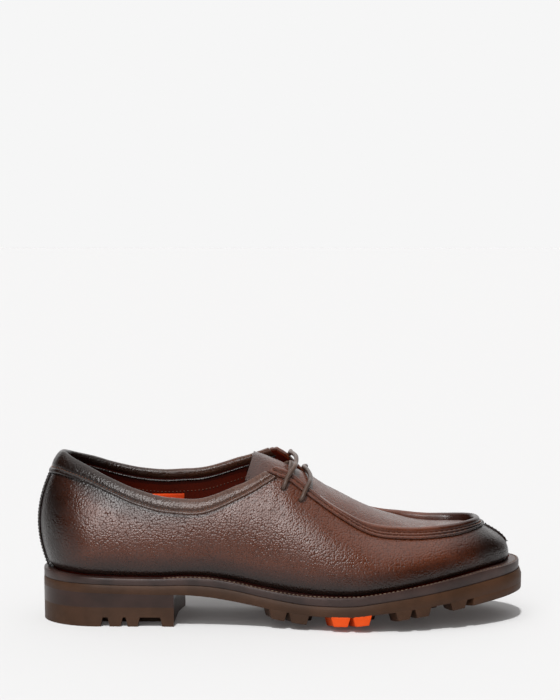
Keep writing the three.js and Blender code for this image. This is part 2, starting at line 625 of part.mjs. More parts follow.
// Tongue, running on from the apron and back under the flaps
function tongueTop(x, y) {
  const value = (key) => through(TONGUE, key, x / LENGTH);
  const share = y / (BALL_WIDTH * value("half"));
  return weltTop(x, 0) + UPPER_HEIGHT * (value("rise") - value("drop") * share ** 2);
}

function tongue() {
  const [back, front] = [TONGUE[0].at, TONGUE.at(-1).at];
  const throat = [apronEdge(THROAT), apronEdge(2 - THROAT)];
  const throatX = (y) => mix(throat[0].x, throat[1].x, (y - throat[0].y) / (throat[1].y - throat[0].y));
  const face = (depth) =>
    grid(8, 9, (r, c) => {
      const share = 2 * r - 1;
      const y = BALL_WIDTH * through(TONGUE, "half", mix(back, front, c)) * share;
      const x = mix(LENGTH * back + TONGUE_BOW * (0.3 - share ** 2), throatX(y) - GAP, c);
      return new THREE.Vector3(x, y, tongueTop(x, y) - depth);
    });
  return shell(face(0), face(TONGUE_THICK));
}

// Sole unit
function lugPrism({ from, to }, yFrom, yTo) {
  const [a, b] = [from * LENGTH, to * LENGTH];
  const edge = Math.abs(yFrom) < Math.abs(yTo) ? yTo : yFrom;
  const height = (x) => soleBottom(x, edge);
  const deep = 2 * LUG_HEIGHT;
  const taper = LUG_TAPER * (deep / LUG_HEIGHT);
  return block(
    [
      [a, height(a) + SOLE_THICK],
      [a, height(a)],
      [a + taper, height(a) - deep],
      [b - taper, height(b) - deep],
      [b, height(b)],
      [b, height(b) + SOLE_THICK],
    ],
    yFrom,
    yTo,
  );
}

function outlineY(side, s) {
  const place = Math.acos(1 - 2 * s) / Math.PI;
  return outlinePoint(side < 0 ? place : 2 - place).y;
}

// An edge lug reaches in from the narrower of its two ends
function edgeLug(lug, side) {
  const edges = [lug.from, lug.to].map((s) => side * outlineY(side, Math.min(s, 0.985)));
  return lugPrism(lug, side * (Math.min(...edges) - LUG_LENGTH), side * BALL_WIDTH * 0.6);
}

function middleLug({ from, to, half }) {
  const middle = BALL_WIDTH * through(OUTLINE, "middle", (from + to) / 2);
  return lugPrism({ from, to }, middle - half * BALL_WIDTH, middle + half * BALL_WIDTH);
}

function soleUnit() {
  const plate = layer({ inset: none, bottom: soleBottom, top: soleTop });
  const brown = layer({ inset: none, bottom: lugBottom, top: (x, y) => soleBottom(x, y) + GAP });
  const bright = layer({ inset: none, bottom: lugBottom, top: (x, y) => soleBottom(x, y) - GAP });
  const edges = EDGE_LUGS.flatMap((lug) => [-1, 1].map((side) => ({ lug, side, prism: edgeLug(lug, side) })));
  const prisms = [...MIDDLE_LUGS.map(middleLug), ...edges.filter(({ lug }) => !lug.bright).map(({ prism }) => prism)];
  const footprint = prisms.reduce((all, prism) => all.add(prism));
  const blocks = edges
    .filter(({ lug }) => lug.bright)
    .map(({ lug, side, prism }) => ({
      name: `tread_block_${lug.name}_${side < 0 ? "lateral" : "medial"}`,
      solid: bright.intersect(prism),
    }));
  return { outsole: plate.add(brown.intersect(footprint)), blocks };
}

function welt() {
  const ring = layer({ inset: weltTrim, bottom: (x, y) => soleTop(x, y) + GAP, top: weltTop });
  const hole = layer({
    inset: (way) => weltReach(way) + WALL + GAP,
    bottom: (x, y) => soleTop(x, y) - WELT_THICK,
    top: (x, y) => weltTop(x, y) + WELT_THICK,
  });
  return ring.subtract(hole);
}

function insole() {
  return layer({
    inset: (way) => weltReach(way) + WALL + 3 * GAP,
    bottom: (x, y) => soleTop(x, y) + 2 * GAP,
    top: (x, y) => weltTop(x, y) + INSOLE_RISE,
  });
}

// Heel: everything behind a hollow, skewed breast
function behindBreast() {
  const height = 4 * HEEL_SEAT_HEIGHT;
  const radius = (BALL_WIDTH / 4) ** 2 / (2 * BREAST_HOLLOW);
  const hollow = new THREE.CylinderGeometry(radius, radius, height, 96).rotateX(Math.PI / 2);
  hollow.translate(radius - BREAST_HOLLOW, 0, 0);
  const room = new THREE.BoxGeometry(2 * HEEL_LENGTH, 2 * BALL_WIDTH, height).translate(-HEEL_LENGTH, 0, 0);
  const turn = Math.atan(BREAST_SKEW / (BALL_WIDTH * 0.63));
  for (const geometry of [hollow, room]) geometry.rotateZ(-turn).translate(HEEL_LENGTH + BREAST_SKEW / 2, 0, 0);
  return solidOf(room).subtract(solidOf(hollow));
}

function topLift() {
  let solid = layer({ inset: none, bottom: () => 0, top: () => TOP_LIFT_THICK }).intersect(behindBreast());
  for (const { from, to } of HEEL_NOTCHES)
    for (const side of [-1, 1]) {
      const [a, b] = [from * LENGTH, to * LENGTH];
      const outline = [
        [a - NOTCH_TAPER, -GAP],
        [b + NOTCH_TAPER, -GAP],
        [b, NOTCH_HEIGHT],
        [a, NOTCH_HEIGHT],
      ];
      const edge = side * outlineY(side, from);
      solid = solid.subtract(block(outline, side * (edge - NOTCH_DEPTH), side * BALL_WIDTH));
    }
  return solid;
}

function heelStack() {
  return layer({
    inset: none,
    bottom: () => TOP_LIFT_THICK + GAP,
    top: (x, y) => soleBottom(x, y) - GAP,
  }).intersect(behindBreast());
}

// Lace: a strand of round cord along a smooth line
function strand(points, steps) {
  const curve = new THREE.CatmullRomCurve3(points, false, "centripetal");
  const frames = curve.computeFrenetFrames(steps, false);
  const sections = frames.tangents.map((_, i) => {
    const centre = curve.getPointAt(i / steps);
    return Array.from({ length: LACE_SIDES }, (_, k) => {
      const turn = (-2 * Math.PI * k) / LACE_SIDES;
      return centre
        .clone()
        .addScaledVector(frames.normals[i], (Math.cos(turn) * LACE_DIAMETER) / 2)
        .addScaledVector(frames.binormals[i], (Math.sin(turn) * LACE_DIAMETER) / 2);
    });
  });
  return sweep(sections);
}

const LACE_RADIUS = LACE_DIAMETER / 2;
const UNDER = -(WALL + LACE_RADIUS + 1.5 * GAP);
const OVER = OVERLAY_GAP + SEAM_STRIP_THICK + GAP + LACE_RADIUS;

// Out of the eyelet and over the flap's edge
function overFlap({ at, over }, side) {
  const wayOf = (place) => (side < 0 ? place : 2 - place);
  return [
    besideTop(wayOf(at), EYELET_INSET, UNDER),
    besideTop(wayOf(at), EYELET_INSET, 0),
    besideTop(wayOf(mix(at, over, 0.2)), EYELET_INSET - 1, LACE_RADIUS + 3 * GAP),
    besideTop(wayOf(mix(at, over, 0.6)), SEAM_STRIP_WIDTH + 0.6, OVER),
    besideTop(wayOf(over), 0, OVER + GAP),
  ];
}

// Up from the inner end of the eyelet and out from under the flap's edge
function underFlap({ at, under }, side) {
  const wayOf = (place) => (side < 0 ? place : 2 - place);
  return [
    besideTop(wayOf(at), EYELET_INSET, UNDER),
    besideTop(wayOf(mix(at, under, 0.4)), EYELET_INSET / 2, UNDER),
    besideTop(wayOf(under), 2, UNDER),
  ];
}

function onTongue(x, y, rise) {
  return new THREE.Vector3(x, y, tongueTop(x, y) + rise);
}

const CROSSING = [-0.5, -0.25, 0, 0.25, 0.5];
const CROSSING_WIDTH = 34;

function laces() {
  const lying = LACE_RADIUS + 3 * GAP;
  const bars = EYELETS.map((eyelet, i) => {
    const [near, far] = [overFlap(eyelet, -1), overFlap(eyelet, 1)];
    const x = (near.at(-1).x + far.at(-1).x) / 2 + BAR_BOW;
    return strand([...near, onTongue(x, 0, lying + BAR_ARCH[i]), ...far.reverse()], 28);
  });
  const crossings = [-1, 1].map((side) => {
    const [back, front] = [underFlap(EYELETS[0], side), underFlap(EYELETS[1], -side)];
    const [from, to] = [back.at(-1).x, front.at(-1).x];
    const over = CROSSING.map((share) => onTongue(mix(from, to, share + 0.5), -side * share * CROSSING_WIDTH, lying));
    return strand([...back, ...over, ...front.reverse()], 21);
  });
  return [...bars, ...crossings].reduce((all, one) => all.add(one));
}

const finish = (color, roughness) => new THREE.MeshStandardMaterial({ color, roughness, metalness: 0 });
const leather = finish(0x4a2618, 0.4);
const darkLeather = finish(0x33201a, 0.42);
const weltLeather = finish(0x2e2220, 0.45);
const heelLeather = finish(0x45302c, 0.4);
const liningLeather = finish(0x6e3016, 0.6);
const rubber = finish(0x46342a, 0.6);
const brightRubber = finish(0xe0581c, 0.55);
const waxedCord = finish(0x40342e, 0.5);

const group = new THREE.Group();

function add(name, solid, material) {
  const { vertProperties, triVerts } = solid.getMesh();
  const geometry = new THREE.BufferGeometry();
  geometry.setAttribute("position", new THREE.BufferAttribute(new Float32Array(vertProperties), 3));
  geometry.setIndex(new THREE.BufferAttribute(new Uint32Array(triVerts), 1));
  geometry.computeVertexNormals();
  const mesh = new THREE.Mesh(geometry, material);
  mesh.name = name;
  group.add(mesh);
}

const { outsole, blocks } = soleUnit();
add("upper", upper(), leather);
add("tongue", tongue(), leather);
add("insole", insole(), liningLeather);
add("outsole", outsole, rubber);
add("welt", welt(), weltLeather);
add("heel_stack", heelStack(), heelLeather);
add("heel_top_lift", topLift(), rubber);
for (const { name, solid } of blocks) add(name, solid, brightRubber);
add("collar_band", collarBand(), darkLeather);
add("seam_strip", seamStrip(), leather);
add("back_stay", backStay(), darkLeather);
add("laces", laces(), waxedCord);

// The origin is on the floor, under the middle of the shoe
const box = new THREE.Box3().setFromObject(group);
const centre = box.getCenter(new THREE.Vector3());
group.position.set(-centre.x, -centre.y, -box.min.z);

export default group;
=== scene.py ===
"""Apron toe derby, right shoe: what shows of it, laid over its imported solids.

Lengths in the tables and named values are millimetres, with x from the heel's back to the toe, y to the
inner (medial) side and z up from the floor. Meshes are in metres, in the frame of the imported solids.
"""

from bisect import bisect_left
from functools import lru_cache
from math import acos, cos, pi, radians, sin, sqrt

import bpy
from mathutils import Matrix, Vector


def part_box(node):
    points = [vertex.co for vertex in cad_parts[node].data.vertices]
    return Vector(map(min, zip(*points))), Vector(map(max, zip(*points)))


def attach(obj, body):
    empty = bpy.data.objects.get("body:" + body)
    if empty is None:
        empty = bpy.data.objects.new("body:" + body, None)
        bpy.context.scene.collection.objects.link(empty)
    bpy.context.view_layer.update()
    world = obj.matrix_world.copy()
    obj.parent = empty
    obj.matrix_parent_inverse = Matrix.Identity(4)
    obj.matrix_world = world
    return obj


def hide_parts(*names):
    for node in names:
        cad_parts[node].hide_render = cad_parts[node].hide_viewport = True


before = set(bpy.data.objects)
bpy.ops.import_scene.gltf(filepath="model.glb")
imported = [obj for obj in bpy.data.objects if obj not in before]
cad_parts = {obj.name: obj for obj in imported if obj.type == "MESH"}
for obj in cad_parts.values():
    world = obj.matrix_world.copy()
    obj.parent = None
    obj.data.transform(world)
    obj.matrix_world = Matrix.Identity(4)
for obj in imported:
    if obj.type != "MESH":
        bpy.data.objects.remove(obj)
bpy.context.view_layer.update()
scene = bpy.context.scene

MM = 0.001

# Camera, set to the photograph's view
PHOTO_WIDTH = 560
PHOTO_HEIGHT = 700
SENSOR = 36
AIM = Vector((151, 0, 50))
AIM_PIXEL = Vector((282.9, 537.7))
PIXELS_PER_MM = 1.5853
TURN = 0.42
RISE = 9.76
DISTANCE = 1200

# Driving dimensions, as in the solids
LENGTH = 302
BALL_WIDTH = 107
HEEL_SEAT_HEIGHT = 20
TOE_SPRING = 17.4
EDGE_LIFT = 3.7
UPPER_HEIGHT = 72
WALL = 2.2
GAP = 0.3

# Sole unit
SOLE_THICK = 6.4
LUG_HEIGHT = 5.8
LUG_LENGTH = 17
LUG_TAPER = 1.8
LUG_SKEW = 4
WELT_THICK = 5.2
WELT_REACH = 5
WELT_TRIM = 1.8
TOP_LIFT_THICK = 12
HEEL_LENGTH = 84
BREAST_SKEW = 4
BREAST_HOLLOW = 3
BREAST_HALF = 0.315
NOTCH_HEIGHT = 5.8
NOTCH_DEPTH = 15
NOTCH_TAPER = 1.5
INSOLE_RISE = 1.4

# Overlays, seam and lace
COLLAR_BAND_WIDTH = 9.2
COLLAR_BAND_HEEL_WIDTH = 15
SEAM_STRIP_WIDTH = 5.4
SEAM_STRIP_THROAT_WIDTH = 6.4
SEAM_STRIP_TOE_WIDTH = 3.4
BACK_STAY_WIDTH = 18
LIP_WIDTH = 4.2
LIP_HEIGHT = 3.8
LIP_FULL = 0.67
LIP_ROOT = 1.2
TONGUE_THICK = 2
TONGUE_BOW = 5
LACE_DIAMETER = 2.8
EYELET_INSET = 12.6

# Rounding of the sole's ends, as shares of its length
HEEL_ROUND = 0.122
TOE_ROUND_START = 0.7
TOE_ROUND_POWER = 2.35
FLAT_SHARE = 0.42
CORNER = 0.48
THROAT = 0.56
STEP = 0.004


def table(columns, *rows):
    return [dict(zip(columns.split(), row)) for row in rows]


# Sole outline: halves as shares of the ball width, middle line likewise
OUTLINE = table(
    "at lateral medial middle",
    (0.0, 0.318, 0.312, 0.0),
    (0.12, 0.318, 0.312, 0.0),
    (0.25, 0.322, 0.3, 0.0),
    (0.36, 0.33, 0.268, 0.0),
    (0.44, 0.352, 0.262, 0.0),
    (0.52, 0.405, 0.31, 0.0),
    (0.6, 0.468, 0.402, 0.002),
    (0.68, 0.497, 0.472, 0.006),
    (0.76, 0.488, 0.487, 0.014),
    (0.85, 0.462, 0.468, 0.03),
    (0.93, 0.43, 0.425, 0.045),
    (1.0, 0.4, 0.38, 0.055),
)

# Sole from the side: shares of heel height, toe spring and edge lift, and of each layer's own thickness
PROFILE = table(
    "at heel spring lift rubber welt lug",
    (0.0, 1.12, 0.0, 0.0, 0.83, 1.15, 1.0),
    (0.09, 1.09, 0.0, 0.0, 0.82, 0.88, 1.0),
    (0.17, 1.03, 0.0, 0.0, 0.82, 0.86, 1.0),
    (0.25, 1.0, 0.0, 0.0, 0.85, 0.88, 1.0),
    (0.3, 0.985, 0.0, 0.03, 0.92, 0.94, 1.0),
    (0.35, 0.88, 0.0, 0.1, 1.0, 0.98, 1.0),
    (0.4, 0.67, 0.0, 0.27, 1.03, 0.97, 1.0),
    (0.45, 0.41, 0.0, 0.52, 0.98, 0.97, 1.0),
    (0.5, 0.15, 0.0, 0.85, 0.97, 1.0, 1.0),
    (0.55, 0.0, 0.0, 1.0, 0.97, 1.06, 1.0),
    (0.642, 0.0, 0.0, 1.0, 1.0, 1.1, 1.0),
    (0.69, 0.0, 0.107, 1.0, 1.03, 1.08, 1.0),
    (0.765, 0.0, 0.3, 0.86, 1.14, 1.18, 0.95),
    (0.84, 0.0, 0.523, 0.68, 1.25, 1.28, 0.88),
    (0.92, 0.0, 0.774, 0.45, 1.33, 1.32, 0.8),
    (1.0, 0.0, 1.0, 0.2, 1.3, 1.1, 0.78),
)

# Top edge of the side panels, from the heel round the collar and down the apron seam, and how the wall leans
SIDE_COLUMNS = "at x y rise foot_lean foot_pull top_lean top_pull"
LATERAL = table(
    SIDE_COLUMNS,
    (0.0, 0.041, 0.0, 1.013, 21, 0.45, 30, 0.35),
    (0.05, 0.044, -0.064, 1.019, 21, 0.45, 29, 0.35),
    (0.10, 0.052, -0.115, 1.021, 21, 0.44, 27, 0.35),
    (0.15, 0.071, -0.160, 0.985, 20, 0.42, 24, 0.35),
    (0.20, 0.103, -0.196, 0.929, 20, 0.4, 20, 0.35),
    (0.25, 0.147, -0.232, 0.845, 19, 0.38, 15, 0.35),
    (0.30, 0.205, -0.258, 0.749, 18, 0.36, 12, 0.35),
    (0.35, 0.272, -0.274, 0.680, 17, 0.36, 12, 0.35),
    (0.40, 0.341, -0.280, 0.684, 15, 0.35, 16, 0.34),
    (0.45, 0.421, -0.260, 0.881, 14, 0.34, 26, 0.32),
    (0.48, 0.486, -0.224, 1.094, 14, 0.34, 36, 0.3),
    (0.52, 0.518, -0.221, 1.054, 13, 0.34, 42, 0.3),
    (0.55, 0.550, -0.231, 0.955, 12, 0.34, 44, 0.32),
    (0.60, 0.613, -0.256, 0.753, 11, 0.36, 46, 0.36),
    (0.65, 0.682, -0.271, 0.568, 11, 0.38, 48, 0.4),
    (0.70, 0.747, -0.262, 0.478, 11, 0.4, 52, 0.42),
    (0.75, 0.798, -0.234, 0.428, 10, 0.42, 55, 0.42),
    (0.80, 0.841, -0.198, 0.398, 9, 0.43, 57, 0.43),
    (0.85, 0.873, -0.151, 0.381, 8, 0.44, 59, 0.43),
    (0.90, 0.894, -0.092, 0.370, 7, 0.45, 60, 0.43),
    (0.95, 0.906, -0.026, 0.363, 6, 0.45, 60, 0.43),
    (1.0, 0.909, 0.043, 0.359, 6, 0.45, 60, 0.43),
)
MEDIAL = table(
    SIDE_COLUMNS,
    (0.0, 0.041, 0.0, 1.013, 21, 0.45, 30, 0.35),
    (0.05, 0.044, 0.064, 1.008, 21, 0.45, 29, 0.35),
    (0.10, 0.052, 0.115, 0.994, 21, 0.44, 27, 0.35),
    (0.15, 0.071, 0.162, 0.970, 20, 0.42, 24, 0.35),
    (0.20, 0.103, 0.201, 0.939, 18, 0.4, 20, 0.35),
    (0.25, 0.147, 0.233, 0.886, 15, 0.38, 15, 0.35),
    (0.30, 0.205, 0.254, 0.838, 12, 0.36, 12, 0.35),
    (0.35, 0.272, 0.267, 0.820, 12, 0.36, 11, 0.35),
    (0.40, 0.341, 0.269, 0.849, 14, 0.35, 14, 0.34),
    (0.45, 0.421, 0.243, 1.020, 16, 0.34, 22, 0.32),
    (0.48, 0.487, 0.196, 1.194, 16, 0.34, 28, 0.3),
    (0.52, 0.515, 0.194, 1.115, 15, 0.34, 36, 0.3),
    (0.55, 0.546, 0.215, 0.996, 14, 0.34, 41, 0.32),
    (0.60, 0.614, 0.262, 0.786, 11, 0.36, 46, 0.36),
    (0.65, 0.684, 0.288, 0.593, 11, 0.38, 48, 0.4),
    (0.70, 0.750, 0.292, 0.496, 11, 0.4, 52, 0.42),
    (0.75, 0.805, 0.271, 0.428, 10, 0.42, 55, 0.42),
    (0.80, 0.848, 0.247, 0.393, 9, 0.43, 57, 0.43),
    (0.85, 0.877, 0.206, 0.376, 8, 0.44, 59, 0.43),
    (0.90, 0.897, 0.155, 0.366, 7, 0.45, 60, 0.43),
    (0.95, 0.907, 0.102, 0.359, 6, 0.45, 60, 0.43),
    (1.0, 0.909, 0.043, 0.359, 6, 0.45, 60, 0.43),
)
SIDES = {
    medial: ([row for row in rows if row["at"] <= CORNER], [row for row in rows if row["at"] >= CORNER])
    for medial, rows in ((False, LATERAL), (True, MEDIAL))
}
WELT_EDGES = table(
    "at reach trim",
    (0.0, 0.75, 0.1),
    (0.2, 0.8, 0.2),
    (0.45, 0.9, 0.3),
    (0.65, 1.1, 0.5),
    (0.85, 1.5, 0.9),
    (1.0, 1.7, 1.0),
)
APRON = table(
    "at drop crown",
    (0.56, 0.06, 0.1),
    (0.6, 0.04, 0.132),
    (0.64, 0.03, 0.144),
    (0.675, 0.03, 0.117),
    (0.714, 0.03, 0.074),
    (0.75, 0.03, 0.058),
    (0.8, 0.03, 0.05),
    (0.87, 0.03, 0.034),
    (1.0, 0.03, 0.0),
)
TONGUE = table(
    "at half rise drop",
    (0.435, 0.226, 1.128, 0.2),
    (0.46, 0.217, 1.122, 0.16),
    (0.487, 0.216, 1.104, 0.165),
    (0.515, 0.212, 1.074, 0.17),
    (0.54, 0.194, 1.035, 0.13),
    (0.556, 0.19, 1.003, 0.07),
)
EDGE_LUGS = table(
    "name start end bright",
    ("waist", 0.472, 0.51, False),
    ("back", 0.513, 0.555, False),
    ("ball_back", 0.598, 0.638, True),
    ("ball_front", 0.642, 0.681, True),
    ("tread_back", 0.728, 0.763, False),
    ("tread_front", 0.767, 0.802, False),
    ("toe_back", 0.84, 0.877, False),
)
MIDDLE_LUGS = table(
    "start end half",
    (0.525, 0.565, 0.15),
    (0.585, 0.63, 0.2),
    (0.65, 0.695, 0.2),
    (0.715, 0.76, 0.19),
    (0.785, 0.825, 0.17),
)
HEEL_NOTCHES = ((0.132, 0.142), (0.173, 0.179), (0.208, 0.25))
EYELETS = table("at over under", (0.505, 0.515, 0.522), (0.541, 0.549, 0.532))
# The lace bars' free points between the flaps
BAR_POINTS = (
    (
        (157.8, -25.5, 97.6),
        (159.1, -17, 99.7),
        (159.4, -9, 101.8),
        (158.6, 0, 102.5),
        (157, 8, 102.7),
        (155.7, 15, 102.1),
    ),
    (
        (167.2, -26, 88.3),
        (168, -19, 89.8),
        (168, -11, 91.3),
        (167, -3, 92.4),
        (165.5, 6, 93.2),
        (164, 15, 93.1),
    ),
)


def clamp(value, low=0.0, high=1.0):
    return max(low, min(high, value))


def mix(a, b, share):
    return a + (b - a) * share


def ease(value, low, high):
    t = clamp((value - low) / (high - low))
    return t * t * (3 - 2 * t)


def through(rows, key, at):
    """A smooth curve through a table's rows: cubic pieces whose slopes are set by the neighbouring rows."""
    i = 0
    while i < len(rows) - 2 and at > rows[i + 1]["at"]:
        i += 1

    def slope(k):
        a, b = rows[max(k - 1, 0)], rows[min(k + 1, len(rows) - 1)]
        return (b[key] - a[key]) / (b["at"] - a["at"])

    a, b = rows[i], rows[i + 1]
    step = b["at"] - a["at"]
    t = clamp((at - a["at"]) / step)
    h = t * t * (3 - 2 * t)
    bend = slope(i) * t * (1 - t) ** 2 - slope(i + 1) * t * t * (1 - t)
    return a[key] * (1 - h) + b[key] * h + step * bend


# The sole's heights
@lru_cache(maxsize=None)
def station(s):
    """What the sole's tables say at a share of its length."""
    half = (through(OUTLINE, "lateral", s) + through(OUTLINE, "medial", s)) / 2
    seat = (HEEL_SEAT_HEIGHT - LUG_HEIGHT) * through(PROFILE, "heel", s)
    return {
        "half": half,
        "middle": through(OUTLINE, "middle", s),
        "rise": LUG_HEIGHT + seat + TOE_SPRING * through(PROFILE, "spring", s),
        "lift": EDGE_LIFT * through(PROFILE, "lift", s),
        "rubber": SOLE_THICK * through(PROFILE, "rubber", s),
        "welt": WELT_THICK * through(PROFILE, "welt", s),
        "lug": LUG_HEIGHT * through(PROFILE, "lug", s),
    }


def sole_bottom(x, y):
    at = station(clamp(x / LENGTH))
    off = abs(y / BALL_WIDTH - at["middle"]) / at["half"]
    return at["rise"] + at["lift"] * clamp((off - FLAT_SHARE) / (1 - FLAT_SHARE)) ** 2


def sole_top(x, y):
    return sole_bottom(x, y) + station(clamp(x / LENGTH))["rubber"]


def welt_top(x, y):
    return sole_top(x, y) + station(clamp(x / LENGTH))["welt"]


def lug_bottom(x, y):
    return max(sole_bottom(x, y) - station(clamp(x / LENGTH))["lug"], 0)


# Ways round the shoe run from 0 at the heel along the lateral side to 1 at the toe, and on to 2 at the heel
# along the medial side
def place_of(way):
    return 2 - way % 2 if way % 2 > 1 else way % 2


@lru_cache(maxsize=None)
def outline_point(way):
    s = (1 - cos(pi * place_of(way))) / 2
    back = 1 - min(s / HEEL_ROUND, 1)
    front = max((s - TOE_ROUND_START) / (1 - TOE_ROUND_START), 0)
    cap = sqrt(1 - back**2) * max(1 - front**TOE_ROUND_POWER, 0) ** (1 / TOE_ROUND_POWER)
    half = through(OUTLINE, "medial", s) if way % 2 > 1 else -through(OUTLINE, "lateral", s)
    return Vector((s * LENGTH, (through(OUTLINE, "middle", s) + half * cap) * BALL_WIDTH, 0))


@lru_cache(maxsize=None)
def outward(way):
    along = (outline_point(way + STEP) - outline_point(way - STEP)).normalized()
    return Vector((along.y, -along.x, 0))


def inset_point(way, inset):
    return outline_point(way) - outward(way) * inset


def outline_y(side, s):
    place = acos(1 - 2 * s) / pi
    return outline_point(place if side < 0 else 2 - place).y


def welt_reach(way):
    return WELT_REACH * through(WELT_EDGES, "reach", place_of(way))


def welt_trim(way):
    return WELT_TRIM * through(WELT_EDGES, "trim", place_of(way))


# The upper's wall
def side_value(way, key):
    place = place_of(way)
    collar, seam = SIDES[way % 2 > 1]
    return through(collar if place <= CORNER else seam, key, place)


@lru_cache(maxsize=None)
def top_edge(way):
    x = LENGTH * side_value(way, "x")
    rise = UPPER_HEIGHT * side_value(way, "rise")
    return Vector((x, BALL_WIDTH * side_value(way, "y"), welt_top(x, 0) + rise))


@lru_cache(maxsize=None)
def wall_controls(way):
    """The four control points of the wall's curve from the welt to the top edge."""
    foot = inset_point(way, welt_reach(way))
    foot.z = welt_top(foot.x, foot.y) + 2 * GAP
    top, out = top_edge(way), outward(way)
    chord = (foot - top).length

    def pull(end):
        angle = radians(side_value(way, end + "_lean"))
        return out * sin(angle), cos(angle), chord * side_value(way, end + "_pull")

    side, up, reach = pull("foot")
    low = foot + (side + Vector((0, 0, up))) * reach
    side, up, reach = pull("top")
    high = top + (side - Vector((0, 0, up))) * reach
    return foot, low, high, top


def wall_point(way, up):
    a, b, c, d = wall_controls(way)
    t = 1 - up
    return a * t**3 + b * (3 * t * t * up) + c * (3 * t * up * up) + d * up**3


def wall_normal(way, up):
    along = wall_point(way + STEP, up) - wall_point(way - STEP, up)
    rise = wall_point(way, min(up + STEP, 1)) - wall_point(way, max(up - STEP, 0))
    return along.cross(rise).normalized()


def wall_offset(way, up, distance):
    return wall_point(way, up) + wall_normal(way, up) * distance


WALL_LEGS = 60


@lru_cache(maxsize=None)
def wall_lengths(way):
    """Distances along the wall from its top edge down to each of its legs."""
    points = [wall_point(way, 1 - i / WALL_LEGS) for i in range(WALL_LEGS + 1)]
    lengths = [0.0]
    for a, b in zip(points, points[1:]):
        lengths.append(lengths[-1] + (a - b).length)
    return lengths


def up_below_top(way, distance):
    lengths = wall_lengths(way)
    i = clamp(bisect_left(lengths, distance), 1, WALL_LEGS)
    share = (distance - lengths[i - 1]) / (lengths[i] - lengths[i - 1])
    return 1 - (i - 1 + clamp(share)) / WALL_LEGS


def beside_top(way, distance, offset):
    """A point so far below the top edge, or above it for a negative distance, and so far out of the wall."""
    if distance >= 0:
        return wall_offset(way, up_below_top(way, distance), offset)
    _, _, high, top = wall_controls(way)
    return wall_offset(way, 1, offset) - (top - high).normalized() * distance


# Apron and tongue
def apron_edge(way):
    return beside_top(way, UPPER_HEIGHT * through(APRON, "drop", place_of(way)), -WALL / 2)


def apron_point(place, across):
    point = apron_edge(place).lerp(apron_edge(2 - place), across)
    point.z += UPPER_HEIGHT * through(APRON, "crown", place) * 4 * across * (1 - across)
    return point


def tongue_top(x, y):
    rise, drop, half = (through(TONGUE, key, x / LENGTH) for key in ("rise", "drop", "half"))
    return welt_top(x, 0) + UPPER_HEIGHT * (rise - drop * (y / (BALL_WIDTH * half)) ** 2)


def on_tongue(x, y, rise):
    return Vector((x, y, tongue_top(x, y) + rise))


# Where the solids stand in the frame
OUTLINE_SAMPLES = 400
sole_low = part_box("outsole")[0]
ORIGIN = Vector(
    (
        sole_low[0],
        sole_low[1] - MM * min(outline_point(i / OUTLINE_SAMPLES).y for i in range(OUTLINE_SAMPLES)),
        0,
    )
)


def placed(point):
    return point * MM + ORIGIN


# Modelling, as by hand
def only(piece):
    bpy.ops.object.select_all(action="DESELECT")
    piece.select_set(True)
    bpy.context.view_layer.objects.active = piece


def in_edit_mode(piece, *steps):
    """Runs operators on all of a piece's mesh."""
    only(piece)
    bpy.ops.object.mode_set(mode="EDIT")
    bpy.ops.mesh.select_all(action="SELECT")
    for step, options in steps:
        step(**options)
    bpy.ops.object.mode_set(mode="OBJECT")


def named(name):
    piece = bpy.context.object
    piece.name = name
    piece.data.name = name
    return piece


def sheet(name, rows, columns, point):
    """A grid laid on a form: point(r, c) is its place at shares of the rows, upwards, and of the columns."""
    bpy.ops.object.select_all(action="DESELECT")
    bpy.ops.mesh.primitive_grid_add(x_subdivisions=columns, y_subdivisions=rows, size=1)
    piece = named(name)
    for vertex in piece.data.vertices:
        r, c = (round((vertex.co[axis] + 0.5) * count) / count for axis, count in ((1, rows), (0, columns)))
        vertex.co = placed(point(r, c))
    return piece


WELD = 1e-6


def weld(piece):
    in_edit_mode(
        piece,
        (bpy.ops.mesh.remove_doubles, {"threshold": WELD}),
        (bpy.ops.mesh.dissolve_degenerate, {"threshold": WELD}),
    )


def close_ends(piece):
    in_edit_mode(piece, (bpy.ops.mesh.fill_holes, {"sides": 0}))


def loop_sweep(name, columns, loop):
    """A closed solid whose section at a share of its way is loop(c), a closed ring of points."""
    rows = len(loop(0))

    @lru_cache(maxsize=None)
    def section(c):
        return loop(c)

    piece = sheet(name, rows, columns, lambda r, c: section(c)[round(r * rows) % rows])
    weld(piece)
    close_ends(piece)
    return piece


def modify(piece, kind, **settings):
    only(piece)
    modifier = piece.modifiers.new(kind.title(), kind)
    for key, value in settings.items():
        setattr(modifier, key, value)
    bpy.ops.object.modifier_apply(modifier=modifier.name)


def cut(piece, cutter):
    modify(piece, "BOOLEAN", object=cutter, operation="DIFFERENCE", solver="EXACT")
    bpy.data.objects.remove(cutter)


def face_outward(piece):
    in_edit_mode(piece, (bpy.ops.mesh.normals_make_consistent, {"inside": False}))


def thicken(piece, thickness):
    modify(piece, "SOLIDIFY", thickness=thickness * MM, offset=-1)


def round_edges(piece, width, segments=2, angle=35):
    modify(
        piece,
        "BEVEL",
        width=width * MM,
        segments=segments,
        limit_method="ANGLE",
        angle_limit=radians(angle),
        use_clamp_overlap=True,
    )


def smooth(piece, angle=40):
    only(piece)
    bpy.ops.object.shade_smooth_by_angle(angle=radians(angle))


def finish(piece, material, replaced=()):
    """Gives a piece its material, attaches it to the root body and hides the solids it replaces."""
    piece.data.materials.clear()
    piece.data.materials.append(material)
    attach(piece, "root")
    if replaced:
        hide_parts(*replaced)


# Shader nodes
def put(tree, socket, value):
    """Links a socket to an output, or sets it to a constant."""
    if isinstance(value, bpy.types.NodeSocket):
        tree.links.new(value, socket)
    else:
        socket.default_value = value


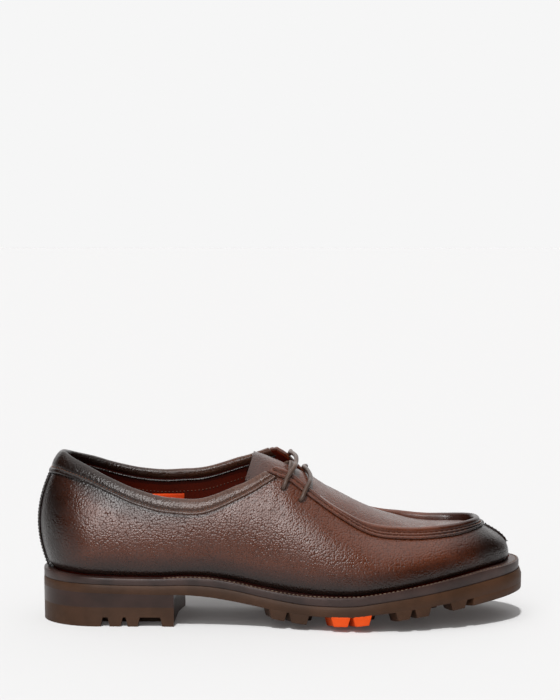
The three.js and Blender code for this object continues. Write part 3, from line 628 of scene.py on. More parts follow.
def node(tree, kind, inputs=None, **settings):
    """A shader node with its settings, and with its inputs set or linked."""
    made = tree.nodes.new("ShaderNode" + kind)
    for key, value in settings.items():
        setattr(made, key, value)
    for key, value in (inputs or {}).items():
        put(tree, made.inputs[key], value)
    return made


def maths(tree, operation, *values):
    made = node(tree, "Math", operation=operation)
    for socket, value in zip(made.inputs, values):
        put(tree, socket, value)
    return made.outputs[0]


def between(tree, value, low, high, to_low=0.0, to_high=1.0):
    """value eased from one range to another."""
    return node(
        tree,
        "MapRange",
        {"Value": value, "From Min": low, "From Max": high, "To Min": to_low, "To Max": to_high},
        interpolation_type="SMOOTHSTEP",
    ).outputs["Result"]


def blend_colors(tree, share, a, b):
    made = node(tree, "Mix", data_type="RGBA", blend_type="MIX")
    for index, value in ((0, share), (6, a), (7, b)):
        put(tree, made.inputs[index], value)
    return made.outputs[2]


def node_group(name, inputs, outputs):
    """An empty shader group: its tree, its inputs and the node that its outputs are linked to."""
    tree = bpy.data.node_groups.new(name, "ShaderNodeTree")
    for socket, kind, default in inputs:
        made = tree.interface.new_socket(socket, in_out="INPUT", socket_type="NodeSocket" + kind)
        if default is not None:
            made.default_value = default
    for socket, kind in outputs:
        tree.interface.new_socket(socket, in_out="OUTPUT", socket_type="NodeSocket" + kind)
    return tree, tree.nodes.new("NodeGroupInput").outputs, tree.nodes.new("NodeGroupOutput")


def use_group(tree, group, inputs):
    made = node(tree, "Group", node_tree=group)
    for key, value in inputs.items():
        put(tree, made.inputs[key], value)
    return made.outputs


def pebble_group():
    """Pebbled leather: small domes between sunken creases."""
    tree, given, result = node_group(
        "pebbled_grain",
        [("Vector", "Vector", None), ("Cells", "Float", 600.0)],
        [("Height", "Float"), ("Valley", "Float")],
    )
    bend_scale = maths(tree, "MULTIPLY", given["Cells"], 0.6)
    bend = node(tree, "TexNoise", {"Vector": given["Vector"], "Scale": bend_scale})
    centred = node(tree, "VectorMath", {0: bend.outputs["Color"], 1: (0.5, 0.5, 0.5)}, operation="SUBTRACT")
    reach = maths(tree, "DIVIDE", 0.6, given["Cells"])
    offset = node(tree, "VectorMath", {0: centred.outputs[0], "Scale": reach}, operation="SCALE")
    moved = node(tree, "VectorMath", {0: given["Vector"], 1: offset.outputs[0]}, operation="ADD")
    cells = node(
        tree,
        "TexVoronoi",
        {"Vector": moved.outputs[0], "Scale": given["Cells"], "Randomness": 0.85},
        feature="F1",
    )
    fall = maths(tree, "POWER", cells.outputs["Distance"], 2.0)
    tree.links.new(maths(tree, "SUBTRACT", 1.0, fall), result.inputs["Height"])
    valley = between(tree, cells.outputs["Distance"], 0.4, 0.75)
    tree.links.new(valley, result.inputs["Valley"])
    return tree


def patch_group():
    """Uneven hand finishing: a slow, cloudy change of a mask."""
    tree, given, result = node_group(
        "hand_finish",
        [
            ("Vector", "Vector", None),
            ("Mask", "Float", 0.0),
            ("Scale", "Float", 45.0),
            ("Amount", "Float", 0.3),
        ],
        [("Mask", "Float")],
    )
    clouds = node(tree, "TexNoise", {"Vector": given["Vector"], "Scale": given["Scale"], "Detail": 4.0})
    centred = maths(tree, "SUBTRACT", clouds.outputs["Fac"], 0.5)
    change = maths(tree, "MULTIPLY", centred, given["Amount"])
    tree.links.new(maths(tree, "ADD", given["Mask"], change), result.inputs["Mask"])
    return tree


def color(red, green, blue):
    """A colour as seen in the photograph's own 0 to 255 values, in linear light."""
    return (*((value / 255) ** 2.2 for value in (red, green, blue)), 1.0)


PEBBLES = pebble_group()
HAND_FINISH = patch_group()


def new_material(name):
    made = bpy.data.materials.new(name)
    made.use_nodes = True
    tree = made.node_tree
    return made, tree, tree.nodes["Principled BSDF"], node(tree, "TexCoord").outputs


def leather(name, light, middle, dark, cells=740.0, depth=0.2, rough=0.28, shine=0.5):
    """Dyed leather that the shade attribute darkens from its light colour to its dark one, painted shade
    included; the grain's valleys get painted shade.
    """
    made, tree, surface, coords = new_material(name)
    shade = node(tree, "Attribute", attribute_name="shade").outputs["Fac"]
    mask = use_group(tree, HAND_FINISH, {"Vector": coords["Object"], "Mask": shade, "Amount": 0.35})["Mask"]
    grain = use_group(tree, PEBBLES, {"Vector": coords["Object"], "Cells": cells})
    # The shade attribute, painted shade included, blends the light colour through the middle one to the dark
    # one.
    to_middle = blend_colors(tree, between(tree, mask, 0.0, 0.55), light, middle)
    dye_and_shade = blend_colors(tree, between(tree, mask, 0.45, 1.0), to_middle, dark)
    # Painted shade: the grain's valleys darkened towards the dark colour.
    shaded_valleys = blend_colors(tree, maths(tree, "MULTIPLY", grain["Valley"], 0.3), dye_and_shade, dark)
    tree.links.new(shaded_valleys, surface.inputs["Base Color"])
    worn = node(tree, "TexNoise", {"Vector": coords["Object"], "Scale": 120.0, "Detail": 3.0})
    roughness = between(tree, worn.outputs["Fac"], 0.3, 0.7, rough - 0.05, rough + 0.07)
    tree.links.new(roughness, surface.inputs["Roughness"])
    surface.inputs["Specular IOR Level"].default_value = shine
    bump = node(tree, "Bump", {"Height": grain["Height"], "Distance": depth * MM, "Strength": 1.0})
    tree.links.new(bump.outputs[0], surface.inputs["Normal"])
    return made


def plain(name, base, dark, rough, scale=350.0, depth=0.05, shine=0.4):
    """A dull material with a fine, even surface and a cloudy change of colour."""
    made, tree, surface, coords = new_material(name)
    clouds = node(tree, "TexNoise", {"Vector": coords["Object"], "Scale": 60.0, "Detail": 5.0})
    share = between(tree, clouds.outputs["Fac"], 0.35, 0.7)
    tree.links.new(blend_colors(tree, share, base, dark), surface.inputs["Base Color"])
    fine = node(tree, "TexNoise", {"Vector": coords["Object"], "Scale": scale * 4, "Detail": 4.0})
    roughness = between(tree, fine.outputs["Fac"], 0.3, 0.7, rough - 0.04, rough + 0.06)
    tree.links.new(roughness, surface.inputs["Roughness"])
    bump = node(tree, "Bump", {"Height": fine.outputs["Fac"], "Distance": depth * MM, "Strength": 1.0})
    tree.links.new(bump.outputs[0], surface.inputs["Normal"])
    surface.inputs["Specular IOR Level"].default_value = shine
    return made


CHESTNUT = color(80, 43, 28)
BROWN = color(58, 31, 21)
NEAR_BLACK = color(27, 17, 13)
RUST = color(92, 26, 4)
pebbled_leather = leather("pebbled_leather", CHESTNUT, BROWN, NEAR_BLACK)
smooth_leather = leather(
    "smooth_leather", color(112, 62, 42), BROWN, NEAR_BLACK, cells=1100.0, depth=0.04, shine=0.6
)
band_leather = leather("band_leather", color(82, 52, 38), color(56, 37, 28), NEAR_BLACK)
lining_leather = leather(
    "lining_leather", RUST, color(58, 19, 5), color(28, 9, 4), 1500.0, 0.04, rough=0.6, shine=0.06
)
patch_leather = leather(
    "patch_leather", color(246, 84, 34), color(224, 70, 26), color(180, 60, 24), 1500.0, 0.04, 0.55, 0.1
)
welt_leather = plain("welt_leather", color(60, 44, 40), color(44, 32, 29), 0.4, depth=0.05)
heel_leather = plain("heel_leather", color(54, 38, 33), color(44, 31, 27), 0.36, depth=0.03, shine=0.3)
sole_rubber = plain("sole_rubber", color(68, 47, 34), color(58, 40, 28), 0.5, shine=0.2)
orange_rubber = plain("orange_rubber", color(212, 76, 24), color(204, 70, 20), 0.6, shine=0.15)
lace_cord = plain("lace_cord", color(84, 66, 57), color(60, 46, 39), 0.36, scale=900.0, depth=0.08)
thread = plain("thread", color(96, 62, 46), color(70, 44, 32), 0.5, scale=900.0, depth=0.06)
# Partly real thread colour, partly painted highlight: kept pale so that the welt stitches also draw the
# light line along the welt's top edge.
pale_thread_and_sheen = plain("pale_thread_and_sheen", color(104, 86, 70), color(80, 64, 52), 0.5, scale=900.0, depth=0.06)
dark_thread = plain("dark_thread", color(34, 25, 21), color(22, 16, 14), 0.45, scale=900.0, depth=0.06)


def shade_by(piece, shade):
    """Stores how dark a piece is at each point, painted shade included: 0 for its light colour, 1 for its
    dark one.
    """
    layer = piece.data.attributes.new("shade", "FLOAT", "POINT")
    for vertex, item in zip(piece.data.vertices, layer.data):
        item.value = shade((vertex.co - ORIGIN) * 1000)


TOPLINE = sorted((top_edge(side).x, top_edge(side).z) for side in (CORNER * i / 40 for i in range(41)))


def topline_height(x):
    i = int(clamp(bisect_left(TOPLINE, (x, 0)), 1, len(TOPLINE) - 1))
    (x0, z0), (x1, z1) = TOPLINE[i - 1], TOPLINE[i]
    return mix(z0, z1, clamp((x - x0) / (x1 - x0)))


def upper_shade(p):
    """Darker at the heel and over the toe, with painted shade below the collar band and along the welt, as
    seen from the side.
    """
    heel = 1 - ease(p.x, 2, 42)
    toe = ease(p.x, 240, 284)
    # Painted shade: darker below the collar band, towards the heel.
    painted_collar_shade = (1 - ease(topline_height(p.x) - p.z, 9, 26)) * (1 - ease(p.x, 30, 130))
    # Painted shade: darker just above the welt.
    low = 1 - ease(p.z - welt_top(p.x, p.y), 2, 20)
    return clamp(max(heel, toe, 0.85 * painted_collar_shade, 0.9 * low))


def plain_shade(p):
    return 0.3


# Upper
PANEL_COLUMNS = 110
WALL_ROWS = 48
LEATHER_THICK = 1.3
LINING_THICK = 0.7
TUCK = 1.4
TUCK_HEIGHT = 0.07
CORNER_SOFT = 7
CORNER_DROP = 1.8
PATCH_WAYS = (0.312, 0.362)
PATCH_HEIGHTS = (52, 74.2)
PATCH_THICK = 0.5


def panel_way(share):
    """Ways at even shares of the collar and of the apron seam on both sides."""
    stretch = min(int(share * 4), 3)
    starts = (0, CORNER, 1, 2 - CORNER, 2)
    return mix(starts[stretch], starts[stretch + 1], share * 4 - stretch)


def eyelet_cutter(way):
    up = up_below_top(way, EYELET_INSET)
    radius = LACE_DIAMETER / 2 + 0.2
    bpy.ops.object.select_all(action="DESELECT")
    bpy.ops.mesh.primitive_cylinder_add(
        vertices=24,
        radius=radius * MM,
        depth=8 * WALL * MM,
        location=placed(wall_point(way, up)),
        rotation=wall_normal(way, up).to_track_quat("Z", "Y").to_euler(),
    )
    return bpy.context.object


def punch_eyelets(piece):
    for eyelet in EYELETS:
        for way in (eyelet["at"], 2 - eyelet["at"]):
            cut(piece, eyelet_cutter(way))


def panel_point(way, up):
    """The wall, turned in a little where it meets the welt."""
    return wall_offset(way, up, -TUCK * (1 - ease(up, -0.01, TUCK_HEIGHT)))


def soften_corners(piece):
    """Rounds the flaps' upper corners, the taller medial one more."""
    for way, drop in ((CORNER, 0.3 * CORNER_DROP), (2 - CORNER, CORNER_DROP)):
        tip = placed(top_edge(way))
        for vertex in piece.data.vertices:
            away = (vertex.co.xy - tip.xy).length
            near = clamp(1 - away / (CORNER_SOFT * MM))
            vertex.co.z -= drop * MM * near**2


def side_panels():
    piece = sheet("side_panels", WALL_ROWS, 4 * PANEL_COLUMNS, lambda r, c: panel_point(panel_way(c), r))
    weld(piece)
    thicken(piece, LEATHER_THICK)
    round_edges(piece, 0.4)
    punch_eyelets(piece)
    soften_corners(piece)
    smooth(piece)
    shade_by(piece, upper_shade)
    finish(piece, pebbled_leather, ("upper",))


def lining():
    inside = lambda r, c: wall_offset(panel_way(1 - c), mix(0.06, 0.985, r), -WALL)
    piece = sheet("lining", WALL_ROWS // 2, 4 * PANEL_COLUMNS // 2, inside)
    weld(piece)
    thicken(piece, LINING_THICK)
    punch_eyelets(piece)
    soften_corners(piece)
    smooth(piece)
    shade_by(piece, plain_shade)
    finish(piece, lining_leather)


def up_at_height(way, z):
    low, high = 0.0, 1.0
    for _ in range(30):
        middle = (low + high) / 2
        low, high = (middle, high) if wall_point(way, middle).z < z else (low, middle)
    return low


def label_patch():
    """A bare patch sewn on the lining of the inner side."""

    def point(r, c):
        way = 2 - mix(PATCH_WAYS[1], PATCH_WAYS[0], c)
        return wall_offset(way, up_at_height(way, mix(*PATCH_HEIGHTS, r)), -(WALL + PATCH_THICK + 0.1))

    piece = sheet("label_patch", 16, 20, lambda r, c: point(r, 1 - c))
    in_edit_mode(piece, (bpy.ops.mesh.flip_normals, {}))
    thicken(piece, PATCH_THICK)
    round_edges(piece, 0.2)
    smooth(piece)
    # Painted shadow: the patch darkens towards its front edge.
    shade_by(piece, lambda p: 0.1 + 0.7 * ease(p.x, 70, 88))
    finish(piece, patch_leather)


# The apron and the tongue are one sheet, whose cross lines change from the tongue's form to the apron's
JOIN_BACK = 0.54
JOIN_FRONT = 0.585


def vamp_point(place, across):
    joined = ease(place, JOIN_BACK, JOIN_FRONT)
    share = 2 * across - 1
    x = LENGTH * place + TONGUE_BOW * (0.3 - share**2) * (1 - ease(place, TONGUE[0]["at"], JOIN_BACK))
    y = BALL_WIDTH * through(TONGUE, "half", place) * share * (1 + 0.06 * (1 - ease(place, 0.5, JOIN_BACK)))
    tongue = on_tongue(x, y, 0)
    return tongue.lerp(apron_point(max(place, JOIN_BACK), across), joined)


def apron_and_tongue():
    start = TONGUE[0]["at"]
    piece = sheet("apron_and_tongue", 44, 190, lambda r, c: vamp_point(mix(start, 1, c), r))
    weld(piece)
    thicken(piece, TONGUE_THICK)
    round_edges(piece, 0.5)
    smooth(piece)
    shade_by(piece, lambda p: 0.15 + 0.5 * (1 - ease(p.x, 128, 150)) + 0.3 * ease(p.x, 250, 280))
    finish(piece, pebbled_leather, ("tongue",))


# Lip along the apron seam: shares of its width outward, and of its height
LIP_PROFILE = (
    (0.12, 0.1),
    (0.17, 0.4),
    (0.12, 0.7),
    (-0.04, 0.93),
    (-0.3, 1.03),
    (-0.56, 0.97),
    (-0.78, 0.78),
    (-0.9, 0.45),
    (-0.9, 0.1),
)


def lip_loop(way):
    """The lip's section, closed below by its root in the seam."""
    height = LIP_HEIGHT * (0.1 + 0.9 * ease(place_of(way), THROAT, LIP_FULL))
    top, out = top_edge(way), outward(way)
    edge = apron_edge(way)
    loop = [top + out * (LIP_WIDTH * side) + Vector((0, 0, up * height)) for side, up in LIP_PROFILE]
    inner = loop[-1].copy()
    inner.z = min(edge.z - WALL, inner.z) - 0.5
    return [beside_top(way, LIP_ROOT, 0), *loop, inner, beside_top(way, LIP_ROOT + 1, -WALL)]


def lip():
    start = THROAT + 0.01
    piece = loop_sweep("apron_lip", 300, lambda c: lip_loop(mix(start, 2 - start, c)))
    modify(piece, "SUBSURF", levels=1, render_levels=1)
    smooth(piece, 60)
    shade_by(piece, lambda p: 0.3 + 0.6 * ease(p.x, 236, 280))
    finish(piece, smooth_leather)


# Overlays: their profiles give the distance below the top edge and the height over the wall
BAND_PROFILE = (
    (1.0, 0.45),
    (0.99, 1.2),
    (0.95, 1.6),
    (0.88, 1.7),
    (0.8, 1.45),
    (0.765, 1.0),
    (0.725, 1.0),
    (0.68, 1.5),
    (0.56, 1.8),
    (0.42, 1.85),
    (0.28, 1.75),
    (0.15, 1.5),
    (0.04, 1.0),
)
BAND_ROLL = (
    (-0.5, 0.4),
    (-0.8, -0.5),
    (-0.8, -1.6),
    (-0.3, -2.5),
    (0.8, -2.9),
    (2.6, -2.9),
    (4.4, -2.8),
    (4.9, -2.3),
    (2.0, -2.0),
    (0.3, -0.5),
    (2.0, 0.45),
    (6.0, 0.45),
)


def band_width(way):
    return mix(COLLAR_BAND_HEEL_WIDTH, COLLAR_BAND_WIDTH, ease(place_of(way), 0.03, 0.27))


def band_loop(way):
    width = band_width(way)
    outer = [band_point(way, below * width, over) for below, over in BAND_PROFILE]
    return outer + [band_point(way, below, over) for below, over in BAND_ROLL]


def strip_width(way):
    place = place_of(way)
    throat = mix(SEAM_STRIP_THROAT_WIDTH, SEAM_STRIP_WIDTH, ease(place, 0.5, 0.62))
    return mix(throat, SEAM_STRIP_TOE_WIDTH, ease(place, 0.78, 0.93))


@lru_cache(maxsize=None)
def corner_lines(side):
    """At a flap's corner: its tip, the topline's run, and the strip's lower edge with its run up."""
    way_of = (lambda place: place) if side < 0 else (lambda place: 2 - place)
    tip = top_edge(way_of(CORNER))
    topline = (tip - top_edge(way_of(CORNER - 0.02))).normalized()
    edge = beside_top(way_of(CORNER), SEAM_STRIP_THROAT_WIDTH, 0)
    front = beside_top(way_of(CORNER + 0.04), SEAM_STRIP_THROAT_WIDTH, 0)
    return tip, topline, edge, (edge - front).normalized()


def reach_line(point, run, other, other_run):
    """How far along its run a point meets another line, seen from the side."""
    across = run.x * other_run.z - run.z * other_run.x
    gap = other - point
    return (gap.x * other_run.z - gap.z * other_run.x) / across


def side_of(way):
    return -1 if way % 2 < 1 else 1


def band_point(way, below, over):
    """On the collar band, whose ends are cut along the seam strip."""
    side = side_of(way)
    _, topline, edge, strip_run = corner_lines(side)
    point = beside_top(way, below, over)
    near = ease(place_of(way), CORNER - 0.05, CORNER)
    if near > 0:
        end = beside_top(CORNER if side < 0 else 2 - CORNER, below, over)
        point = point + topline * (near * (reach_line(end, topline, edge, strip_run) - 0.2))
    return point


def collar_band():
    piece = loop_sweep("collar_band", 460, lambda c: band_loop(mix(-CORNER, CORNER, c)))
    soften_corners(piece)
    smooth(piece, 60)
    shade_by(piece, lambda p: 0.2 + 0.75 * (1 - ease(p.x, 14, 112)))
    finish(piece, band_leather, ("collar_band",))


def collar_piping():
    """A dark roll along the top of the lining."""
    ring = [(6.6 + 0.8 * cos(pi * i / 4), -(WALL + 0.3) - 0.4 * sin(pi * i / 4)) for i in range(8)]
    piece = loop_sweep(
        "collar_piping",
        300,
        lambda c: [beside_top(mix(-CORNER, CORNER, c), below, over) for below, over in ring],
    )
    smooth(piece, 60)
    shade_by(piece, lambda p: 0.9)
    finish(piece, band_leather)


STRIP_PROFILE = (
    (5.4, 0.3),
    (5.35, 1.3),
    (4.9, 1.75),
    (4.1, 1.8),
    (3.6, 1.45),
    (3.3, 0.8),
    (2.5, 0.8),
    (2.2, 1.4),
    (1.7, 1.75),
    (0.9, 1.65),
    (0.35, 1.1),
    (0.3, 0.3),
)


def strip_point(way, below, over):
    """On the seam strip, which runs on past the flap's corner up to the topline."""
    drop = (LIP_ROOT - 0.4) * ease(place_of(way), THROAT - 0.02, LIP_FULL)
    width = strip_width(way)
    place_below = drop + below / SEAM_STRIP_WIDTH * (width - drop)
    point = beside_top(way, place_below, over)
    side = side_of(way)
    tip, topline, _, strip_run = corner_lines(side)
    near = 1 - ease(place_of(way), CORNER, CORNER + 0.012)
    if near > 0:
        end = beside_top(CORNER if side < 0 else 2 - CORNER, place_below, over)
        point = point + strip_run * (near * max(reach_line(end, strip_run, tip, topline) - 0.3, 0))
    return point


def seam_strip():
    piece = loop_sweep(
        "seam_strip",
        520,
        lambda c: [strip_point(mix(CORNER, 2 - CORNER, c), below, over) for below, over in STRIP_PROFILE],
    )
    soften_corners(piece)
    smooth(piece, 60)
    shade_by(piece, lambda p: 0.3 + 0.6 * ease(p.x, 232, 272))
    finish(piece, smooth_leather, ("seam_strip",))


# Stitching: one stitch is modelled, and repeated along its row
def stitch_row(name, points, pitch, length, radius, material, across=False):
    bpy.ops.object.select_all(action="DESELECT")
    bpy.ops.curve.primitive_nurbs_path_add()
    path = bpy.context.object
    path.data.splines.clear()
    spline = path.data.splines.new("POLY")
    spline.points.add(len(points) - 1)
    for knot, point in zip(spline.points, points):
        knot.co = (*placed(point), 1)
    path.data.dimensions = "3D"
    bpy.ops.object.select_all(action="DESELECT")
    bpy.ops.mesh.primitive_uv_sphere_add(segments=8, ring_count=5, radius=radius * MM)
    piece = named(name)
    stretch = length / 2 / radius
    size = (1, stretch, 1) if across else (stretch, 1, 1)
    in_edit_mode(piece, (bpy.ops.transform.resize, {"value": size}))
    modify(
        piece,
        "ARRAY",
        fit_type="FIT_CURVE",
        curve=path,
        use_relative_offset=False,
        use_constant_offset=True,
        constant_offset_displace=(pitch * MM, 0, 0),
    )
    modify(piece, "CURVE", object=path, deform_axis="POS_X")
    bpy.data.objects.remove(path)
    smooth(piece, 60)
    finish(piece, material)


def along(start, end, count, point):
    return [point(mix(start, end, i / count)) for i in range(count + 1)]


def upper_stitches():
    ends = CORNER - 0.012
    points = along(-ends, ends, 400, lambda way: band_point(way, 0.745 * band_width(way), 1.05))
    stitch_row("collar_stitches", points, 2.1, 1.4, 0.3, thread)
    points = along(-ends, ends, 400, lambda way: beside_top(way, 14, -(WALL + 0.1)))
    stitch_row("lining_stitches", points, 2.4, 1.3, 0.25, thread)
    for name, start, end in (("lateral", CORNER + 0.004, 0.86), ("medial", 1.14, 2 - CORNER - 0.004)):
        points = along(start, end, 240, lambda way: strip_point(way, 2.9, 0.85))
        stitch_row(f"strip_stitches_{name}", points, 4.0, 2.4, 0.38, thread)
    start = THROAT + 0.05
    points = along(start, 2 - start, 400, lambda way: beside_top(way, LIP_ROOT - 0.5, 0.75))
    stitch_row("lip_stitches", points, 3.4, 2.2, 0.36, thread)
    for name, share in (("left", -0.8), ("right", 0.8)):
        way = share * (0.01 * BACK_STAY_WIDTH / 2) / abs(outline_point(0.01).y)
        points = along(0.02, up_below_top(way, band_width(way)), 60, lambda up: wall_offset(way, up, 1.15))
        stitch_row(f"stay_stitches_{name}", points, 2.1, 1.4, 0.3, dark_thread)


TOE_SEAM_UPS = (0.26, 0.95)
TOE_SEAM_HALF_WIDTH = 1.7
TOE_SEAM_HEIGHT = 1.3


def toe_seam():
    """The closed seam down the middle of the toe, with its hand stitches."""

    def ring(c):
        up = mix(*TOE_SEAM_UPS, c)
        way_span = 0.02 / (wall_point(1.01, up) - wall_point(0.99, up)).length
        rise = TOE_SEAM_HEIGHT * min(1, c / 0.12, (1 - c) / 0.12)
        return [
            wall_offset(1 + side * TOE_SEAM_HALF_WIDTH * way_span, up, over * rise - 0.2)
            for side, over in ((-1, 0), (-0.8, 0.55), (-0.4, 0.9), (0, 1), (0.4, 0.9), (0.8, 0.55), (1, 0))
        ]

    piece = loop_sweep("toe_seam", 60, ring)
    face_outward(piece)
    smooth(piece, 60)
    shade_by(piece, lambda p: 1.0)
    finish(piece, smooth_leather)
    low, high = TOE_SEAM_UPS
    points = along(low + 0.05, high - 0.04, 40, lambda up: wall_offset(1, up, TOE_SEAM_HEIGHT - 0.25))
    stitch_row("toe_seam_stitches", points, 2.6, 2.0, 0.36, dark_thread, across=True)


def back_stay():
    sample = 0.01
    half = (sample * BACK_STAY_WIDTH / 2) / abs(outline_point(sample).y)

    def point(r, c):
        way = mix(-half, half, c)
        top = up_below_top(way, band_width(way) - 0.5)
        return wall_offset(way, mix(0.004, top, r), 1.1)

    piece = sheet("back_stay", 40, 24, point)
    thicken(piece, 0.9)
    round_edges(piece, 0.3)
    smooth(piece)
    shade_by(piece, lambda p: 0.9)
    finish(piece, band_leather, ("back_stay",))


# Insole
def layer_point(inset, across, r, height):
    place = inset_point(r, inset(r)).lerp(inset_point(2 - r, inset(2 - r)), across)
    place.z = height(place.x, place.y)
    return place


def insole():
    inset = lambda way: welt_reach(way) + WALL + 3 * GAP
    top = lambda x, y: welt_top(x, y) + INSOLE_RISE
    piece = sheet("insole", 20, 100, lambda r, c: layer_point(inset, r, c, top))
    weld(piece)
    thicken(piece, 4)
    smooth(piece)
    shade_by(piece, plain_shade)
    finish(piece, lining_leather, ("insole",))


# Sole unit
SOLE_COLUMNS = 150
SOLE_ROUND = 0.35


def welt_loop(way):
    reach, trim = welt_reach(way) + WALL + GAP, welt_trim(way)
    outer = ((trim + 0.3, 0), (trim, 0.12), (trim, 0.8), (trim + 0.2, 0.95), (trim + 0.7, 1))
    inner = ((reach - 0.5, 1), (reach, 0.9), (reach, 0))
    points = []
    for inset, up in outer + inner:
        p = inset_point(way, inset)
        low, high = sole_top(p.x, p.y) + GAP / 3, welt_top(p.x, p.y)
        points.append(Vector((p.x, p.y, mix(low, high, up))))
    return points


def welt():
    piece = sheet("welt", 8, 2 * SOLE_COLUMNS, lambda r, c: welt_loop(2 * c)[round(r * 8) % 8])
    weld(piece)
    smooth(piece)
    finish(piece, welt_leather, ("welt",))


def plate_loop(r, bottom, top, across=10):
    """A closed section across the sole, whose upper edge is drawn in towards the welt."""
    none, drawn = lambda way: 0, lambda way: 0.7 * welt_trim(way)
    middle = lambda x, y: mix(bottom(x, y), top(x, y), 0.55)
    lower = [layer_point(none, i / across, r, bottom) for i in range(across + 1)]
    upper = [layer_point(drawn, 1 - i / across, r, top) for i in range(across + 1)]
    return [*lower, layer_point(none, 1, r, middle), *upper, layer_point(none, 0, r, middle)]


def plate(name, bottom, top, columns=SOLE_COLUMNS):
    count = len(plate_loop(0.5, bottom, top))

    @lru_cache(maxsize=None)
    def section(c):
        return plate_loop(c, bottom, top)

    piece = sheet(name, count, columns, lambda r, c: section(c)[round(r * count) % count])
    weld(piece)
    face_outward(piece)
    return piece


def welt_stitches():
    def point(way):
        p = inset_point(way, welt_trim(way) + 1.5)
        p.z = welt_top(p.x, p.y) + 0.05
        return p

    points = along(0.34, 1.68, 500, point)
    # Painted highlight in part: the pale thread also draws the welt edge's light line.
    stitch_row("welt_stitches", points, 2.7, 1.9, 0.36, pale_thread_and_sheen)


def outsole():
    piece = plate("sole_plate", sole_bottom, sole_top)
    round_edges(piece, SOLE_ROUND)
    smooth(piece)
    finish(piece, sole_rubber, ("outsole",))


def lug(name, start, end, y_from, y_to, outer=None, skew=0):
    """A tapered block under the sole. outer(x) is its outer y where it follows the sole's edge."""
    bpy.ops.object.select_all(action="DESELECT")
    bpy.ops.mesh.primitive_cube_add(size=1)
    piece = named(name)
    in_edit_mode(piece, (bpy.ops.mesh.subdivide, {"number_cuts": 5}))
    for vertex in piece.data.vertices:
        u, v, w = (share + 0.5 for share in vertex.co)
        taper = LUG_TAPER * (1 - w)
        x = mix(start * LENGTH + taper, end * LENGTH - taper, u)
        outer_y = outer(x) if outer else y_to
        y = mix(y_from, outer_y, v)
        x -= skew * (1 - v)
        vertex.co = placed(Vector((x, y, mix(lug_bottom(x, y), sole_bottom(x, y) + 0.6, w))))
    if y_to < y_from:
        face_outward(piece)
    round_edges(piece, SOLE_ROUND)
    smooth(piece)
    return piece


def lugs():
    for row in EDGE_LUGS:
        for side, side_name in ((-1, "lateral"), (1, "medial")):
            edges = [side * outline_y(side, row[key]) for key in ("start", "end")]
            inner = side * (min(edges) - LUG_LENGTH)
            name = f"lug_{row['name']}_{side_name}"
            edge = lambda x, s=side: outline_y(s, x / LENGTH)
            piece = lug(name, row["start"], row["end"], inner, side * BALL_WIDTH / 2, edge, LUG_SKEW)
            if row["bright"]:
                block = f"tread_block_{row['name']}_{side_name}"
                finish(piece, orange_rubber, (block,))
            else:
                finish(piece, sole_rubber)
    for i, row in enumerate(MIDDLE_LUGS):
        middle = BALL_WIDTH * through(OUTLINE, "middle", (row["start"] + row["end"]) / 2)
        half = BALL_WIDTH * row["half"]
        piece = lug(f"lug_middle_{i}", row["start"], row["end"], middle - half, middle + half)
        finish(piece, sole_rubber)


TOE_LUG_START = 0.889
TOE_LUG_LENGTH = 14


def toe_lug():
    """The front of the tread: a horseshoe that closes the sole's edge round the toe."""
    start = acos(1 - 2 * TOE_LUG_START) / pi

    def section(way):
        points = []
        for inset, down in ((0, 0), (0, 1), (TOE_LUG_LENGTH, 1), (TOE_LUG_LENGTH, 0)):
            p = inset_point(way, inset)
            top = sole_bottom(p.x, p.y) + 0.6
            points.append(Vector((p.x, p.y, mix(top, lug_bottom(p.x, p.y), down))))
        return points

    piece = loop_sweep("lug_toe", 60, lambda c: section(mix(start, 2 - start, c)))
    face_outward(piece)
    round_edges(piece, SOLE_ROUND)
    smooth(piece)
    finish(piece, sole_rubber)


# Heel
def breast_x(y):
    """The heel's front face: skewed, and hollowed towards its middle."""
    half = BALL_WIDTH * BREAST_HALF
    hollow = BREAST_HOLLOW * max(1 - (y / half) ** 2, 0)
    return HEEL_LENGTH + BREAST_SKEW / 2 + BREAST_SKEW / 2 * y / half - hollow


def heel_layer(name, bottom, top, rows=14, columns=60):
    """A layer of the heel: its outline squeezed so that it ends at the breast."""

    def point(c, across, height):
        way = c * acos(1 - 2 * (HEEL_LENGTH + BREAST_SKEW) / LENGTH) / pi
        p = outline_point(way).lerp(outline_point(2 - way), across)
        limit = breast_x(p.y)
        p.x = min(p.x, limit)
        p.z = height(p.x, p.y)
        return p

    count = 2 * (rows + 1)

    @lru_cache(maxsize=None)
    def section(c):
        lower = [point(c, i / rows, bottom) for i in range(rows + 1)]
        upper = [point(c, 1 - i / rows, top) for i in range(rows + 1)]
        return lower + upper

    piece = sheet(name, count, columns, lambda r, c: section(c)[round(r * count) % count])
    weld(piece)
    close_ends(piece)
    face_outward(piece)
    return piece


def notch_cutter(start, end, side):
    """A wedge that narrows upwards, let into the edge of the top lift."""
    bpy.ops.object.select_all(action="DESELECT")
    bpy.ops.mesh.primitive_cube_add(size=1)
    cutter = named("notch_cutter")
    edge = outline_y(side, start / LENGTH)
    for vertex in cutter.data.vertices:
        u, v, w = (share > 0 for share in vertex.co)
        x = (end if u else start) + (0 if w else NOTCH_TAPER if u else -NOTCH_TAPER)
        y = edge + side * 5 if v == (side > 0) else edge - side * NOTCH_DEPTH
        vertex.co = placed(Vector((x, y, NOTCH_HEIGHT if w else -0.5)))
    return cutter


